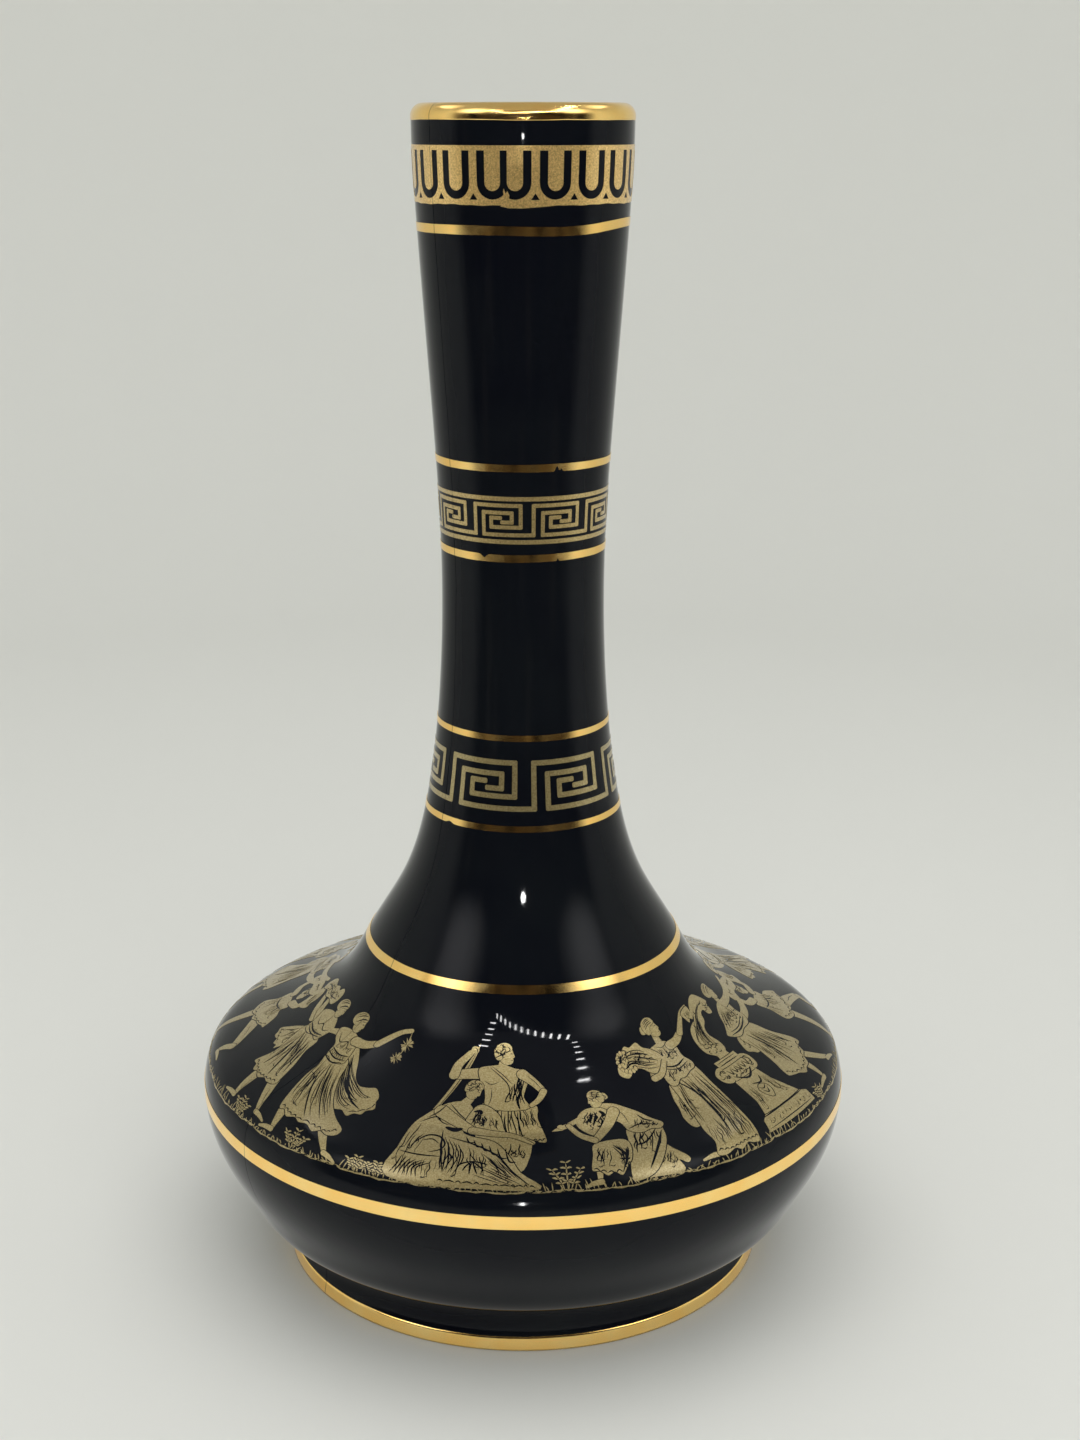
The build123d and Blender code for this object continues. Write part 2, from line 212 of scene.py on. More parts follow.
def solid_film(name, angle, arc, faces, thickness, material, replaced):
    """A thin closed solid on the pot: the faces, given by angle and arc length, with a back and edges.

    The edges have vertices of their own, so that the front shades like the pot right up to its rim.
    """
    top, up = on_pot(angle, arc, thickness)
    under, _ = on_pot(angle, arc, -SINK)
    count = len(top)
    used = dict.fromkeys(edge for face in faces for edge in zip(face, face[1:] + face[:1]))
    rim = [(a, b) for a, b in used if (b, a) not in used]
    rim_vertices = sorted({v for edge in rim for v in edge})
    copy = {v: 2 * count + i for i, v in enumerate(rim_vertices)}
    under_copy = {v: 2 * count + len(rim_vertices) + i for i, v in enumerate(rim_vertices)}
    vertices = np.concatenate([top, under, top[rim_vertices], under[rim_vertices]])
    sides = [(copy[b], copy[a], under_copy[a], under_copy[b]) for a, b in rim]
    backs = [tuple(v + count for v in reversed(face)) for face in faces]
    normals = np.zeros((len(vertices), 3))
    for a, b in rim:
        outwards = np.cross(top[b] - top[a], up[a])
        outwards /= np.linalg.norm(outwards) + 1e-12
        for v in (copy[a], copy[b], under_copy[a], under_copy[b]):
            normals[v] += outwards
    normals[:count] = up
    normals[count:2 * count] = -up
    normals[2 * count:] += 1e-6
    normals /= np.linalg.norm(normals, axis=1)[:, None]
    make_piece(name, vertices, list(faces) + backs + sides, material, replaced, normals)


# ================================================================ materials
THIN_LINE_ANGLE = math.radians(-54)    # where a thin dark line runs up the pot


def add_node(tree, kind, inputs=(), **settings):
    """A new node. inputs gives its sockets, by name or number, a value or another node's output."""
    node = tree.nodes.new(kind)
    for key, value in settings.items():
        setattr(node, key, value)
    for key, value in dict(inputs).items():
        if isinstance(value, bpy.types.NodeSocket):
            tree.links.new(value, node.inputs[key])
        else:
            node.inputs[key].default_value = value
    return node


def combine(tree, operation, *values):
    """The result of a maths node on numbers or sockets."""
    return add_node(tree, "ShaderNodeMath", enumerate(values), operation=operation).outputs[0]


def map_range(tree, value, low, high, top=1.0, **settings):
    """The value scaled and clamped so that low gives 0 and high gives top."""
    inputs = {"Value": value, "From Min": low, "From Max": high, "To Max": top}
    return add_node(tree, "ShaderNodeMapRange", inputs, **settings).outputs["Result"]


class Surface:
    """A node material under construction."""

    def __init__(self, name):
        self.material = bpy.data.materials.new(name)
        self.material.use_nodes = True
        self.tree = self.material.node_tree
        self.shader = self.tree.nodes["Principled BSDF"]
        self.place = self.add("ShaderNodeTexCoord").outputs["Object"]

    def add(self, kind, inputs=(), **settings):
        return add_node(self.tree, kind, inputs, **settings)

    def noise(self, size, detail=3.0, stretch=(1, 1, 1), roughness=0.5):
        """Noise whose grains are about size metres across."""
        scaled = self.add("ShaderNodeMapping", {"Vector": self.place, "Scale": [s / size for s in stretch]})
        return self.add("ShaderNodeTexNoise", {
            "Vector": scaled.outputs["Vector"], "Scale": 1.0, "Detail": detail, "Roughness": roughness,
        }).outputs["Fac"]

    def ramp(self, value, stops):
        """Colour ramp: stops are (position, grey value or colour)."""
        ramp = self.add("ShaderNodeValToRGB", {"Fac": value})
        elements = ramp.color_ramp.elements
        while len(elements) < len(stops):
            elements.new(0.5)
        for element, (position, colour) in zip(elements, stops):
            element.position = position
            element.color = (*colour, 1) if isinstance(colour, tuple) else (colour, colour, colour, 1)
        return ramp.outputs["Color"]

    def bump(self, height, strength, distance, below=None):
        inputs = {"Height": height, "Strength": strength, "Distance": distance}
        if below:
            inputs["Normal"] = below
        return self.add("ShaderNodeBump", inputs).outputs["Normal"]

    def multiplied(self, colour, share, factor):
        """The colour times a factor for red, green and blue, to the extent that share says."""
        mix = self.add("ShaderNodeMix", {"Factor": share, 6: colour, 7: (*factor, 1)},
                       data_type="RGBA", blend_type="MULTIPLY")
        return mix.outputs[2]

    def set(self, **values):
        """Principled inputs by name, with _ for a space: a number, a colour or a node's output."""
        for key, value in values.items():
            socket = self.shader.inputs[key.replace("_", " ")]
            if isinstance(value, bpy.types.NodeSocket):
                self.tree.links.new(value, socket)
            else:
                socket.default_value = (*value, 1) if isinstance(value, tuple) else value


def mould_seam(s):
    """How far a spot is on a faint, thin, dark line that wanders up the pot, 0 to 1."""
    facing = (math.cos(THIN_LINE_ANGLE) / MM, math.sin(THIN_LINE_ANGLE) / MM, 0)
    across = s.add("ShaderNodeVectorMath", {0: s.place, 1: facing}, operation="DOT_PRODUCT")
    wander = combine(s.tree, "MULTIPLY_ADD", s.noise(7 * MM, 2), 0.5, across.outputs["Value"])
    away = combine(s.tree, "ABSOLUTE", combine(s.tree, "SUBTRACT", wander, 0.25))
    return map_range(s.tree, away, 0.13, 0.05)


def glaze_material():
    s = Surface("black_glaze")
    tint = s.ramp(s.noise(22 * MM, 2), [(0.3, (0.003, 0.0036, 0.0062)), (0.7, (0.0052, 0.0064, 0.0082))])
    smear = s.ramp(s.noise(9 * MM, 4, (1, 1, 0.35)), [(0.42, 0.035), (0.75, 0.085)])
    ripple = s.bump(s.noise(16 * MM, 1), 0.25, 0.25 * MM)
    skin = s.bump(s.noise(1.1 * MM, 2), 0.08, 0.02 * MM, ripple)
    shine = s.ramp(mould_seam(s), [(0.0, 0.11), (1.0, 0.01)])
    s.set(Base_Color=tint, Roughness=smear, IOR=1.5, Normal=skin, Specular_IOR_Level=shine)
    return s.material


def burnished_gold_material():
    s = Surface("burnished_gold")
    tint = s.ramp(s.noise(5 * MM, 3), [(0.3, (1.0, 0.63, 0.18)), (0.7, (1.0, 0.71, 0.26))])
    tint = s.multiplied(tint, mould_seam(s), (0.35, 0.35, 0.35))
    streaks = s.noise(0.5 * MM, 2, (1, 1, 4))
    rough = s.ramp(s.noise(2.5 * MM, 4), [(0.35, 0.13), (0.75, 0.27)])
    s.set(Base_Color=tint, Metallic=1.0, Roughness=rough, Normal=s.bump(streaks, 0.12, 0.03 * MM))
    return s.material


def printed_gold_material():
    """Grainy, duller gold, greenish on the shoulder. Lighter and warmer up the neck: a painted sheen that
    grows with height.
    """
    s = Surface("printed_gold")
    grain = s.noise(0.28 * MM, 3, roughness=0.7)
    tint = s.ramp(grain, [(0.3, (0.25, 0.19, 0.075)), (0.5, (0.41, 0.325, 0.145)),
                          (0.72, (0.55, 0.465, 0.24))])
    height = s.add("ShaderNodeSeparateXYZ", {0: s.place}).outputs["Z"]
    # painted sheen: the print is made lighter and warmer with height, up the neck
    tint = s.multiplied(tint, map_range(s.tree, height, 120 * MM, 195 * MM), (2.05, 1.75, 1.4))
    tint = s.multiplied(tint, mould_seam(s), (0.5, 0.5, 0.5))
    s.set(Base_Color=tint, Metallic=0.75, Roughness=0.4, Normal=s.bump(grain, 0.3, 0.02 * MM),
          Coat_Weight=0.8, Coat_Roughness=0.06, Coat_IOR=1.4)
    return s.material


def biscuit_material():
    s = Surface("biscuit")
    grain = s.noise(0.7 * MM, 4)
    tint = s.ramp(grain, [(0.3, (0.55, 0.48, 0.38)), (0.7, (0.74, 0.68, 0.57))])
    s.set(Base_Color=tint, Roughness=0.85, Normal=s.bump(grain, 0.4, 0.05 * MM))
    return s.material


def lining_material():
    s = Surface("lining_glaze")
    tint = s.ramp(s.noise(12 * MM, 3), [(0.3, (0.008, 0.008, 0.01)), (0.7, (0.02, 0.02, 0.022))])
    run = s.bump(s.noise(7 * MM, 2, (1, 1, 0.3)), 0.4, 0.3 * MM)
    s.set(Base_Color=tint, Roughness=0.16, Normal=run)
    return s.material


materials = {
    "black_glaze": glaze_material(),
    "burnished_gold": burnished_gold_material(),
    "printed_gold": printed_gold_material(),
    "biscuit": biscuit_material(),
    "lining_glaze": lining_material(),
}
for node, cad in frame["nodes"].items():
    cad.data.materials.clear()
    cad.data.materials.append(materials[node_slot[node]])


# ================================================================ glaze coat and gold lines
def lip_curve(depth, steps):
    """Half round of the lip, from the outside over to the inside, at a depth under the glaze."""
    centre_r = mouth.x - lip_roundness
    radius = lip_roundness - depth
    turn = np.linspace(0, math.pi, steps)
    return [(mouth.y + radius * math.sin(t), centre_r + radius * math.cos(t)) for t in turn]


def glaze_coat():
    """The outer glaze as one lathe: foot wall, outside, lip, and back down inside the coat."""
    segments, outline_steps, lip_steps = 512, 420, 25
    outer_half = lip_steps // 2 + 1
    foot_z, foot_r = foot_wall[0]
    z, r, out, up = outline.at_arc(np.linspace(0, outline.arc[-1], outline_steps))
    over_lip = lip_curve(0, lip_steps)[:outer_half]
    under_lip = lip_curve(COAT, lip_steps)[:outer_half]
    section = [(foot_z, foot_r)]
    section += [(foot_z + t * (z[0] - foot_z), foot_r + t * (r[0] - foot_r))
                for t in np.linspace(0.08, 0.96, 9)]
    section += list(zip(z, r))
    section += over_lip[1:]
    section += under_lip[::-1]
    section += list(zip((z - up * COAT)[-2::-4], (r - out * COAT)[-2::-4]))
    section += [(foot_z, foot_r - COAT)]
    vertices, faces = lathe(section, segments)
    make_piece("outer_glaze_coat", vertices, faces, materials["black_glaze"], ["outer_glaze"])


def wobble(rng, size, waves):
    """A closed uneven edge: a function of angle with about the given height."""
    parts = [(k, rng.uniform(0, FULL_TURN), size * rng.uniform(0.4, 1.0) / k**0.6) for k in waves]
    return lambda angle: sum(a * np.sin(k * angle + phase) for k, phase, a in parts)


def swell(angle, centre, width, height):
    """A smooth rise of a line round one angle, with centre and width in degrees."""
    away = (np.degrees(angle) - centre + 180) % 360 - 180
    return height * np.exp(-(away / width)**2)


def painted_line(node, rng, drift=None, nicks=()):
    """A hand-painted gold line: its edges wander, it may drift up and down, and chips may be missing.

    A nick is (centre, width, depth): from below, or from above where the depth is negative.
    """
    low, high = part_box(node)
    angle = np.arange(LINE_STEPS) * FULL_TURN / LINE_STEPS
    middle = wobble(rng, 0.07 * MM, (1, 2, 3))(angle)
    if drift is not None:
        middle = middle + drift(angle)
    bottom = outline.arc_of(low.z) + middle + wobble(rng, 0.05 * MM, (5, 11, 23, 47))(angle)
    top = outline.arc_of(high.z) + middle + wobble(rng, 0.05 * MM, (4, 9, 19, 41))(angle)
    for centre, width, depth in nicks:
        bite = swell(angle, centre, width, abs(depth))
        if depth < 0:
            top = top - bite
        else:
            bottom = bottom + bite
    share = np.linspace(0, 1, LINE_ROWS)[:, None]
    arc = bottom[None, :] * (1 - share) + top[None, :] * share
    angles = np.repeat(angle[None, :], LINE_ROWS, 0)
    faces = ring_faces(LINE_ROWS, LINE_STEPS)
    gold = materials["burnished_gold"]
    solid_film(node + "_paint", angles.ravel(), arc.ravel(), faces, PAINT, gold, [node])


def painted_lines():
    """All gold lines but the foot's. They share one run of random draws, so their order counts."""
    rng = random.Random(11)
    painted_line("tongue_line", rng, lambda a: swell(a, 75, 38, 0.9 * MM) - swell(a, 25, 25, 0.25 * MM))
    nicks = {
        "upper_key_line_top": [(22, 1.3, 0.9 * MM), (25, 0.8, 0.5 * MM)],
        "upper_key_line_bottom": [(-27, 2.2, -0.6 * MM), (24, 0.7, 0.4 * MM)],
        "lower_key_line_bottom": [(-47, 2.5, 0.35 * MM)],
    }
    for node in ("upper_key_line_top", "upper_key_line_bottom", "lower_key_line_top",
                 "lower_key_line_bottom", "shoulder_line", "belly_line"):
        painted_line(node, rng, nicks=nicks.get(node, ()))


def lip_gold():
    """Gold over the lip: an uneven lower edge outside, the rounded rim, and a short way inside."""
    steps = 720
    inside_depth = 1.2 * MM
    angle = np.arange(steps) * FULL_TURN / steps
    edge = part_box("lip_gold")[0].z + wobble(random.Random(5), 0.1 * MM, (2, 5, 9, 21))(angle)
    over = lip_curve(-PAINT, 33)
    under = lip_curve(SINK, 33)
    inner_z = over[-1][0] - inside_depth
    inner_edge = [(inner_z, over[-1][1]), (inner_z, under[-1][1])]
    vertices = []
    for a, z_edge in zip(angle, edge):
        z, r = outline.at_arc(outline.arc_of(np.linspace(z_edge, mouth.y, 5)[:-1]))[:2]
        front = list(zip(z, r + PAINT))
        back = list(zip(z, r - SINK))
        section = front + over + inner_edge + under[::-1] + back[::-1]
        vertices += [(radius * math.sin(a), -radius * math.cos(a), height) for height, radius in section]
    count = len(section)
    faces = []
    for j in range(steps):
        k = (j + 1) % steps
        for i in range(count):
            n = (i + 1) % count
            faces.append((j * count + i, k * count + i, k * count + n, j * count + n))
    make_piece("lip_gold_paint", vertices, faces, materials["burnished_gold"], ["lip_gold"])


def foot_gold():
    """Gold round the foot: on the straight foot wall, with a wandering top edge."""
    angle = np.arange(LINE_STEPS) * FULL_TURN / LINE_STEPS
    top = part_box("foot_gold")[1].z + wobble(random.Random(9), 0.12 * MM, (2, 3, 7, 17, 31))(angle)
    base = foot_wall[0][1]
    lean = (base - outline.r[0]) / outline.z[0]
    share = np.concatenate([np.linspace(0, 1, LINE_ROWS), [1, 0]])
    lift = np.array([PAINT] * LINE_ROWS + [-SINK] * 2)
    z = share[:, None] * top[None, :]
    r = base - lean * z + lift[:, None]
    vertices = np.stack([r * np.sin(angle), -r * np.cos(angle), z], -1).reshape(-1, 3)
    faces = ring_faces(len(share), LINE_STEPS, closed=True)
    make_piece("foot_gold_paint", vertices, faces, materials["burnished_gold"], ["foot_gold"])


glaze_coat()
painted_lines()
lip_gold()
foot_gold()


# ================================================================ printed transfers
def smooth(points, closed=False, steps=5):
    """A Catmull-Rom curve through the points, with steps points to each span."""
    p = np.array(points, float)
    n = len(p)
    if closed:
        spans = [(p[i - 1], p[i], p[(i + 1) % n], p[(i + 2) % n]) for i in range(n)]
    else:
        padded = np.concatenate([[2 * p[0] - p[1]], p, [2 * p[-1] - p[-2]]])
        spans = [padded[i:i + 4] for i in range(n - 1)]
    t = np.arange(steps)[:, None] / steps
    curve = [0.5 * (2 * b + (c - a) * t + (2 * a - 5 * b + 4 * c - d) * t**2 + (3 * b - a - 3 * c + d) * t**3)
             for a, b, c, d in spans]
    if not closed:
        curve.append(p[-1:])
    return np.concatenate(curve)


def sideways(curve, closed=False):
    """Unit normals to the left of a curve's points."""
    if closed:
        along = np.roll(curve, -1, 0) - np.roll(curve, 1, 0)
    else:
        along = np.gradient(curve, axis=0)
    along /= np.linalg.norm(along, axis=1)[:, None] + 1e-9
    return np.stack([-along[:, 1], along[:, 0]], 1)


def inside(ring, points):
    """Which points a ring winds round."""
    x, y = points.T[:, :, None]
    x0, y0 = ring.T[:, None, :]
    x1, y1 = np.roll(ring, -1, 0).T[:, None, :]
    turn = (x1 - x0) * (y - y0) - (x - x0) * (y1 - y0)
    rising = (y0 <= y) & (y1 > y) & (turn > 0)
    falling = (y0 > y) & (y1 <= y) & (turn < 0)
    return rising.sum(1) != falling.sum(1)


class Sheet:
    """A flat print in millimetres: each ring laid down later covers what is under it."""

    def __init__(self):
        self.rings = []

    def lay(self, ring, gold=True):
        self.rings.append((np.array(ring, float), gold))

    def box(self, left, bottom, right, top, gold=True):
        self.lay([(left, bottom), (right, bottom), (right, top), (left, top)], gold)

    def triangles(self, cell):
        """Corner points and triangles of the gold, cut along every ring and a square grid."""
        points = np.concatenate([ring for ring, _ in self.rings])
        low, high = points.min(0) - cell, points.max(0) + cell
        grid_offset = 0.37 * cell      # keeps the grid off the straight edges of the rings
        corners = [tuple(p) for p in points]
        edges = []
        first = 0
        for ring, _ in self.rings:
            n = len(ring)
            edges += [(first + i, first + (i + 1) % n) for i in range(n)]
            first += n
        for axis in (0, 1):
            for at in np.arange(low[axis], high[axis], cell) + grid_offset:
                ends = [list(low), list(high)]
                ends[0][axis] = ends[1][axis] = at
                corners += [tuple(e) for e in ends]
                edges.append((len(corners) - 2, len(corners) - 1))
        made = delaunay_2d_cdt([Vector(c) for c in corners], edges, [], 0, 1e-4, False)
        flat = np.array([tuple(v) for v in made[0]])
        faces = np.array([f for f in made[2] if len(f) == 3])
        middle = flat[faces].mean(1)
        gold = np.zeros(len(faces), bool)
        for ring, is_gold in self.rings:
            near = np.nonzero(((middle > ring.min(0)) & (middle < ring.max(0))).all(1))[0]
            if len(near):
                gold[near[inside(ring, middle[near])]] = is_gold
        faces = faces[gold]
        used, faces = np.unique(faces, return_inverse=True)
        return flat[used], [tuple(f) for f in faces.reshape(-1, 3)]


def print_round_neck(name, sheet, radius, base_height, cell, replaced):
    """A flat sheet wrapped round the neck: x runs round from the front, y up from a base height."""
    flat, faces = sheet.triangles(cell)
    arc = outline.arc_of(base_height) + flat[:, 1] * MM
    solid_film(name, flat[:, 0] * MM / radius, arc, faces, PRINT, materials["printed_gold"], replaced)


def neck_band(node):
    """A neck band's lowest and highest heights, its radius, and flat millimetres to the degree."""
    low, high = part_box(node)
    radius = outline.at_arc(outline.arc_of((low.z + high.z) / 2))[1]
    return low.z, high.z, radius, radius / MM * math.pi / 180


# corners of one strand: across in pitches of the band, up in shares of its rise
KEY_STRAND = [
    (0.48, 0.43), (0.64, 0.43), (0.64, 0.75), (0.155, 0.75), (0.155, 0.0), (1.0, 0.0),
    (1.0, 1.0), (1.787, 1.0), (1.787, 0.26), (1.29, 0.26), (1.29, 0.575), (1.445, 0.575),
]


def key_strand(sheet, path, left, pitch, rise, stroke):
    """One strand of the key band: bars with slightly clipped corners."""
    half = stroke / 2
    clip = 0.42 * half
    spots = [(left + u * pitch, half + v * (rise - stroke)) for u, v in path]
    for (x0, y0), (x1, y1) in zip(spots, spots[1:]):
        over_x = half if y0 != y1 else 0
        over_y = half if y0 == y1 else 0
        sheet.box(min(x0, x1) - over_x, min(y0, y1) - over_y, max(x0, x1) + over_x, max(y0, y1) + over_y)
    for x, y in spots:
        sheet.lay([(x - half, y - half + clip), (x - half + clip, y - half), (x + half - clip, y - half),
                   (x + half, y - half + clip), (x + half, y + half - clip), (x + half - clip, y + half),
                   (x - half + clip, y + half), (x - half, y + half - clip)])


def upper_key_band():
    """Nine whole strands round the neck, between two thin rails."""
    cell = 0.9
    low, high, radius, per_degree = neck_band("upper_key_band")
    strands, pitch, first, stroke = 9, 40, 7, 0.66
    sheet = Sheet()
    for k in range(strands):
        left = (first + pitch * k) * per_degree
        key_strand(sheet, KEY_STRAND, left, pitch * per_degree, (high - low) / MM, stroke)
    print_round_neck("upper_key_print", sheet, radius, low, cell, ["upper_key_band"])

    rail = 0.75
    whole = 360 * per_degree
    rail_low, rail_high = (corner.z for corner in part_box("upper_key_rails"))
    rise = (rail_high - rail_low) / MM
    rails = Sheet()
    rails.box(0, 0, whole, rail)
    rails.box(0, rise - rail, whole, rise)
    print_round_neck("upper_key_rail_print", rails, radius, rail_low, cell, ["upper_key_rails"])


def lower_key_band():
    """Larger strands whose pitch does not divide the turn, so two are cut short where the ends meet."""
    low, high, radius, per_degree = neck_band("lower_key_band")
    rise = (outline.arc_of(high) - outline.arc_of(low)) / MM
    pitch, stroke = 55.3, 0.92
    first = 6.7 - 3 * pitch
    cut_at_start = KEY_STRAND[5:]
    cut_at_end = KEY_STRAND[:7] + [(1.25, 1.0)]
    sheet = Sheet()
    for k, path in [(k, KEY_STRAND) for k in range(5)] + [(-1, cut_at_start), (5, cut_at_end)]:
        key_strand(sheet, path, (first + pitch * k) * per_degree, pitch * per_degree, rise, stroke)
    print_round_neck("lower_key_print", sheet, radius, low, 1.0, ["lower_key_band"])


def tongue_band():
    """Gold band with U-shaped gaps, a dart between each pair, and a clumsy join near the front."""
    low, high, radius, per_degree = neck_band("tongue_frieze")
    rise = (high - low) / MM
    stroke = 1.35
    half = 5.3 / 2
    bottom = 0.95
    top = rise - 0.8
    count, pitch, first = 18, 20.5, -4.0      # more than one turn, so the last tongue crowds the first
    join = -9.5
    sheet = Sheet()

    def round_the_neck(points):
        """Flat places of points given in degrees and millimetres."""
        return [(a * per_degree, y) for a, y in points]

    x0, x1 = join * per_degree, (join + 360) * per_degree
    wave = np.linspace(x0, x1, 120)
    lower = 0.07 * np.sin(wave * 0.5) + 0.05 * np.sin(wave * 1.7) + 0.07
    sheet.lay(list(zip(wave, lower)) + [(x1, rise), (x0, rise)])
    sheet.lay(round_the_neck([(join - 1.6, 0.9), (join - 1.8, -0.1), (join + 2.2, -0.38), (join + 9, -0.42),
                              (join + 18, -0.22), (join + 30, 0.12), (join + 30, 0.6), (join + 4, 0.7)]))

    def tongue(centre, gold, reach):
        """An upright U-shaped area, round at the bottom, that reaches so far to each side."""
        x = centre * per_degree
        turn = np.linspace(math.pi, FULL_TURN, 17)
        ring = [(x + reach * math.cos(t), bottom + half + reach * math.sin(t)) for t in turn]
        sheet.lay(ring + [(x + reach, top), (x - reach, top)], gold)

    for k in range(count):
        centre = first + pitch * k
        tongue(centre, False, half)
        tongue(centre, True, half - stroke)
        if k < count - 1:
            x = (centre + pitch / 2) * per_degree
            sheet.lay([(x - 0.72, bottom - 0.05), (x + 0.72, bottom - 0.05), (x, bottom + 1.0)], False)
    sheet.lay(round_the_neck([(-9.2, 0.7), (-7.2, 0.7), (-6.8, 1.6), (-7.8, 2.3), (-8.8, 1.9), (-9.6, 2.7),
                              (-10, 2.2)]))
    print_round_neck("tongue_print", sheet, radius, low, 1.2, ["tongue_frieze"])


upper_key_band()
lower_key_band()
tongue_band()


# ================================================================ figure frieze
GROUND_HEIGHT = 38.75 * MM    # the ground line's height on the shoulder
GROUND_RADIUS = 58.9          # and its radius, in millimetres
SHRINK = 0.88                 # plan radius lost per millimetre up the slope
DEGREE = 0.8                  # flat units across that stand for one degree


def across_per_mm(flat_height, unit=DEGREE):
    """How far one true millimetre reaches across, allowing for the cone's narrowing; unit 1 is degrees."""
    return unit / (math.radians(1) * (GROUND_RADIUS - SHRINK * flat_height))


class Figure(Sheet):
    """A figure drawn in (degrees round the pot, millimetres up the slope from the ground line)."""

    def __init__(self, name, seed):
        super().__init__()
        self.name = name
        self.rng = random.Random(seed)

    def flat(self, points):
        return np.array(points, float) * (DEGREE, 1)

    def push(self, curve, offsets, closed=False):
        """A flat curve moved sideways by true millimetres."""
        shift = sideways(curve, closed) * np.asarray(offsets).reshape(-1, 1)
        return curve + shift * np.stack([across_per_mm(curve[:, 1]), np.ones(len(curve))], 1)

    def area(self, points, rim=0.17, rounded=True):
        """A gold shape with a bare line round it, which shows where it covers other gold."""
        ring = smooth(self.flat(points), closed=True, steps=4) if rounded else self.flat(points)
        after = np.roll(ring, -1, 0)
        twice_area = (ring[:, 0] * after[:, 1] - ring[:, 1] * after[:, 0]).sum()
        if twice_area < 0:
            ring = ring[::-1]
        if rim:
            self.lay(self.push(ring, -rim, closed=True), False)
        self.lay(ring)

    def limb(self, points, widths, rim=0.15):
        """An arm or leg: a tapering stroke through the points, with round ends."""
        curve = smooth(self.flat(points), steps=6)
        half = np.interp(np.linspace(0, 1, len(curve)), np.linspace(0, 1, len(widths)), widths) / 2
        for grow, gold in ((rim, False), (0, True)):
            if grow or gold:
                left = self.push(curve, half + grow)
                right = self.push(curve, -half - grow)
                self.lay(np.concatenate([left, right[::-1]]), gold)
                for end in (0, -1):
                    self.disc(curve[end], half[end] + grow, gold)

    def disc(self, spot, radius, gold=True):
        """A round dot at a flat spot, with its radius in true millimetres."""
        x, y = spot
        turn = np.arange(10) * FULL_TURN / 10
        self.lay(np.stack([x + radius * across_per_mm(y) * np.cos(turn), y + radius * np.sin(turn)], 1), gold)

    def line(self, points, width=0.2, gold=False, steps=4):
        """An engraved line: widest in the middle, thin at the start and pointed at the end."""
        curve = smooth(self.flat(points), steps=steps)
        t = np.linspace(0, 1, len(curve))
        half = width * 0.6 * (0.25 + 0.75 * np.sin(math.pi * t)**0.7)
        half[-1] = 0.01
        self.lay(np.concatenate([self.push(curve, half), self.push(curve, -half)[::-1]]), gold)

    def pleats(self, left, right, count, width=0.22, hooks=0.3):
        """Engraved folds that fan from one guide curve to another, some with a hooked end."""
        fine, shortest = 60, 8       # points along a guide, and the fewest that a fold takes
        left, right = np.array(left, float), np.array(right, float)
        for i in range(count):
            share = (i + 0.5 + self.rng.uniform(-0.3, 0.3)) / count
            start, end = sorted((self.rng.uniform(0, 0.35), self.rng.uniform(0.55, 1.0)))
            guide = smooth(left * (1 - share) + right * share, steps=4)
            along = np.linspace(0, len(guide) - 1, fine)
            dense = np.stack([np.interp(along, np.arange(len(guide)), guide[:, k]) for k in (0, 1)], 1)
            first, last = int(start * (fine - 1)), int(end * (fine - 1))
            part = dense[first:max(last, first + shortest)]
            part = part[np.linspace(0, len(part) - 1, 5).astype(int)]
            part[1:4, 0] += [self.rng.uniform(-0.26, 0.26) for _ in range(3)]
            self.line(part, width * self.rng.uniform(0.45, 1.05))
            if self.rng.random() < hooks:
                tip, lean = part[-1], self.rng.choice((-1, 1)) * self.rng.uniform(0.6, 1.2)
                back = tip - (part[-1] - part[-2]) * 0.35
                dip = (back + tip) / 2 + (lean * 0.6, -0.15)
                self.line([back, dip, tip + (lean, 0.25)], width * 0.7, steps=3)

    def hem(self, points, count, depth=0.55):
        """A row of small scallops along a lower edge."""
        curve = smooth(self.flat(points), steps=6) / (DEGREE, 1)
        spots = curve[np.linspace(0, len(curve) - 1, count + 1).astype(int)]
        for start, end in zip(spots, spots[1:]):
            dip = (start + end) / 2 + (0, depth * self.rng.uniform(0.5, 1.1))
            self.line([start, dip, end], 0.2, steps=3)

    def curls(self, x, y, across, up, count):
        """Small hooked strokes scattered over an oval, in degrees across and millimetres up."""
        for i in range(count):
            turn = i * 2.4          # close to the golden angle, so the strokes spread evenly
            reach = math.sqrt((i + 0.5) / count)
            u, v = x + across * reach * math.cos(turn), y + up * reach * math.sin(turn)
            spin = self.rng.uniform(0, FULL_TURN)
            bend = [(u + 0.62 * math.cos(spin + t), v + 0.36 * math.sin(spin + t))
                    for t in (0, 1.2, 2.4, 3.4)]
            self.line(bend, 0.15, steps=3)

    def head(self, x, y, size, facing, tilt=0.0, hair="knot"):
        """A small plain head in profile, of a stock design: knotted, curly or capped hair."""
        turn = math.radians(tilt)
        widen = across_per_mm(y, 1)

        def at(points):
            placed = []
            for u, v in points:
                u *= facing
                a = u * math.cos(turn) - v * math.sin(turn)
                b = u * math.sin(turn) + v * math.cos(turn)
                placed.append((x + a * size * widen, y + b * size))
            return placed

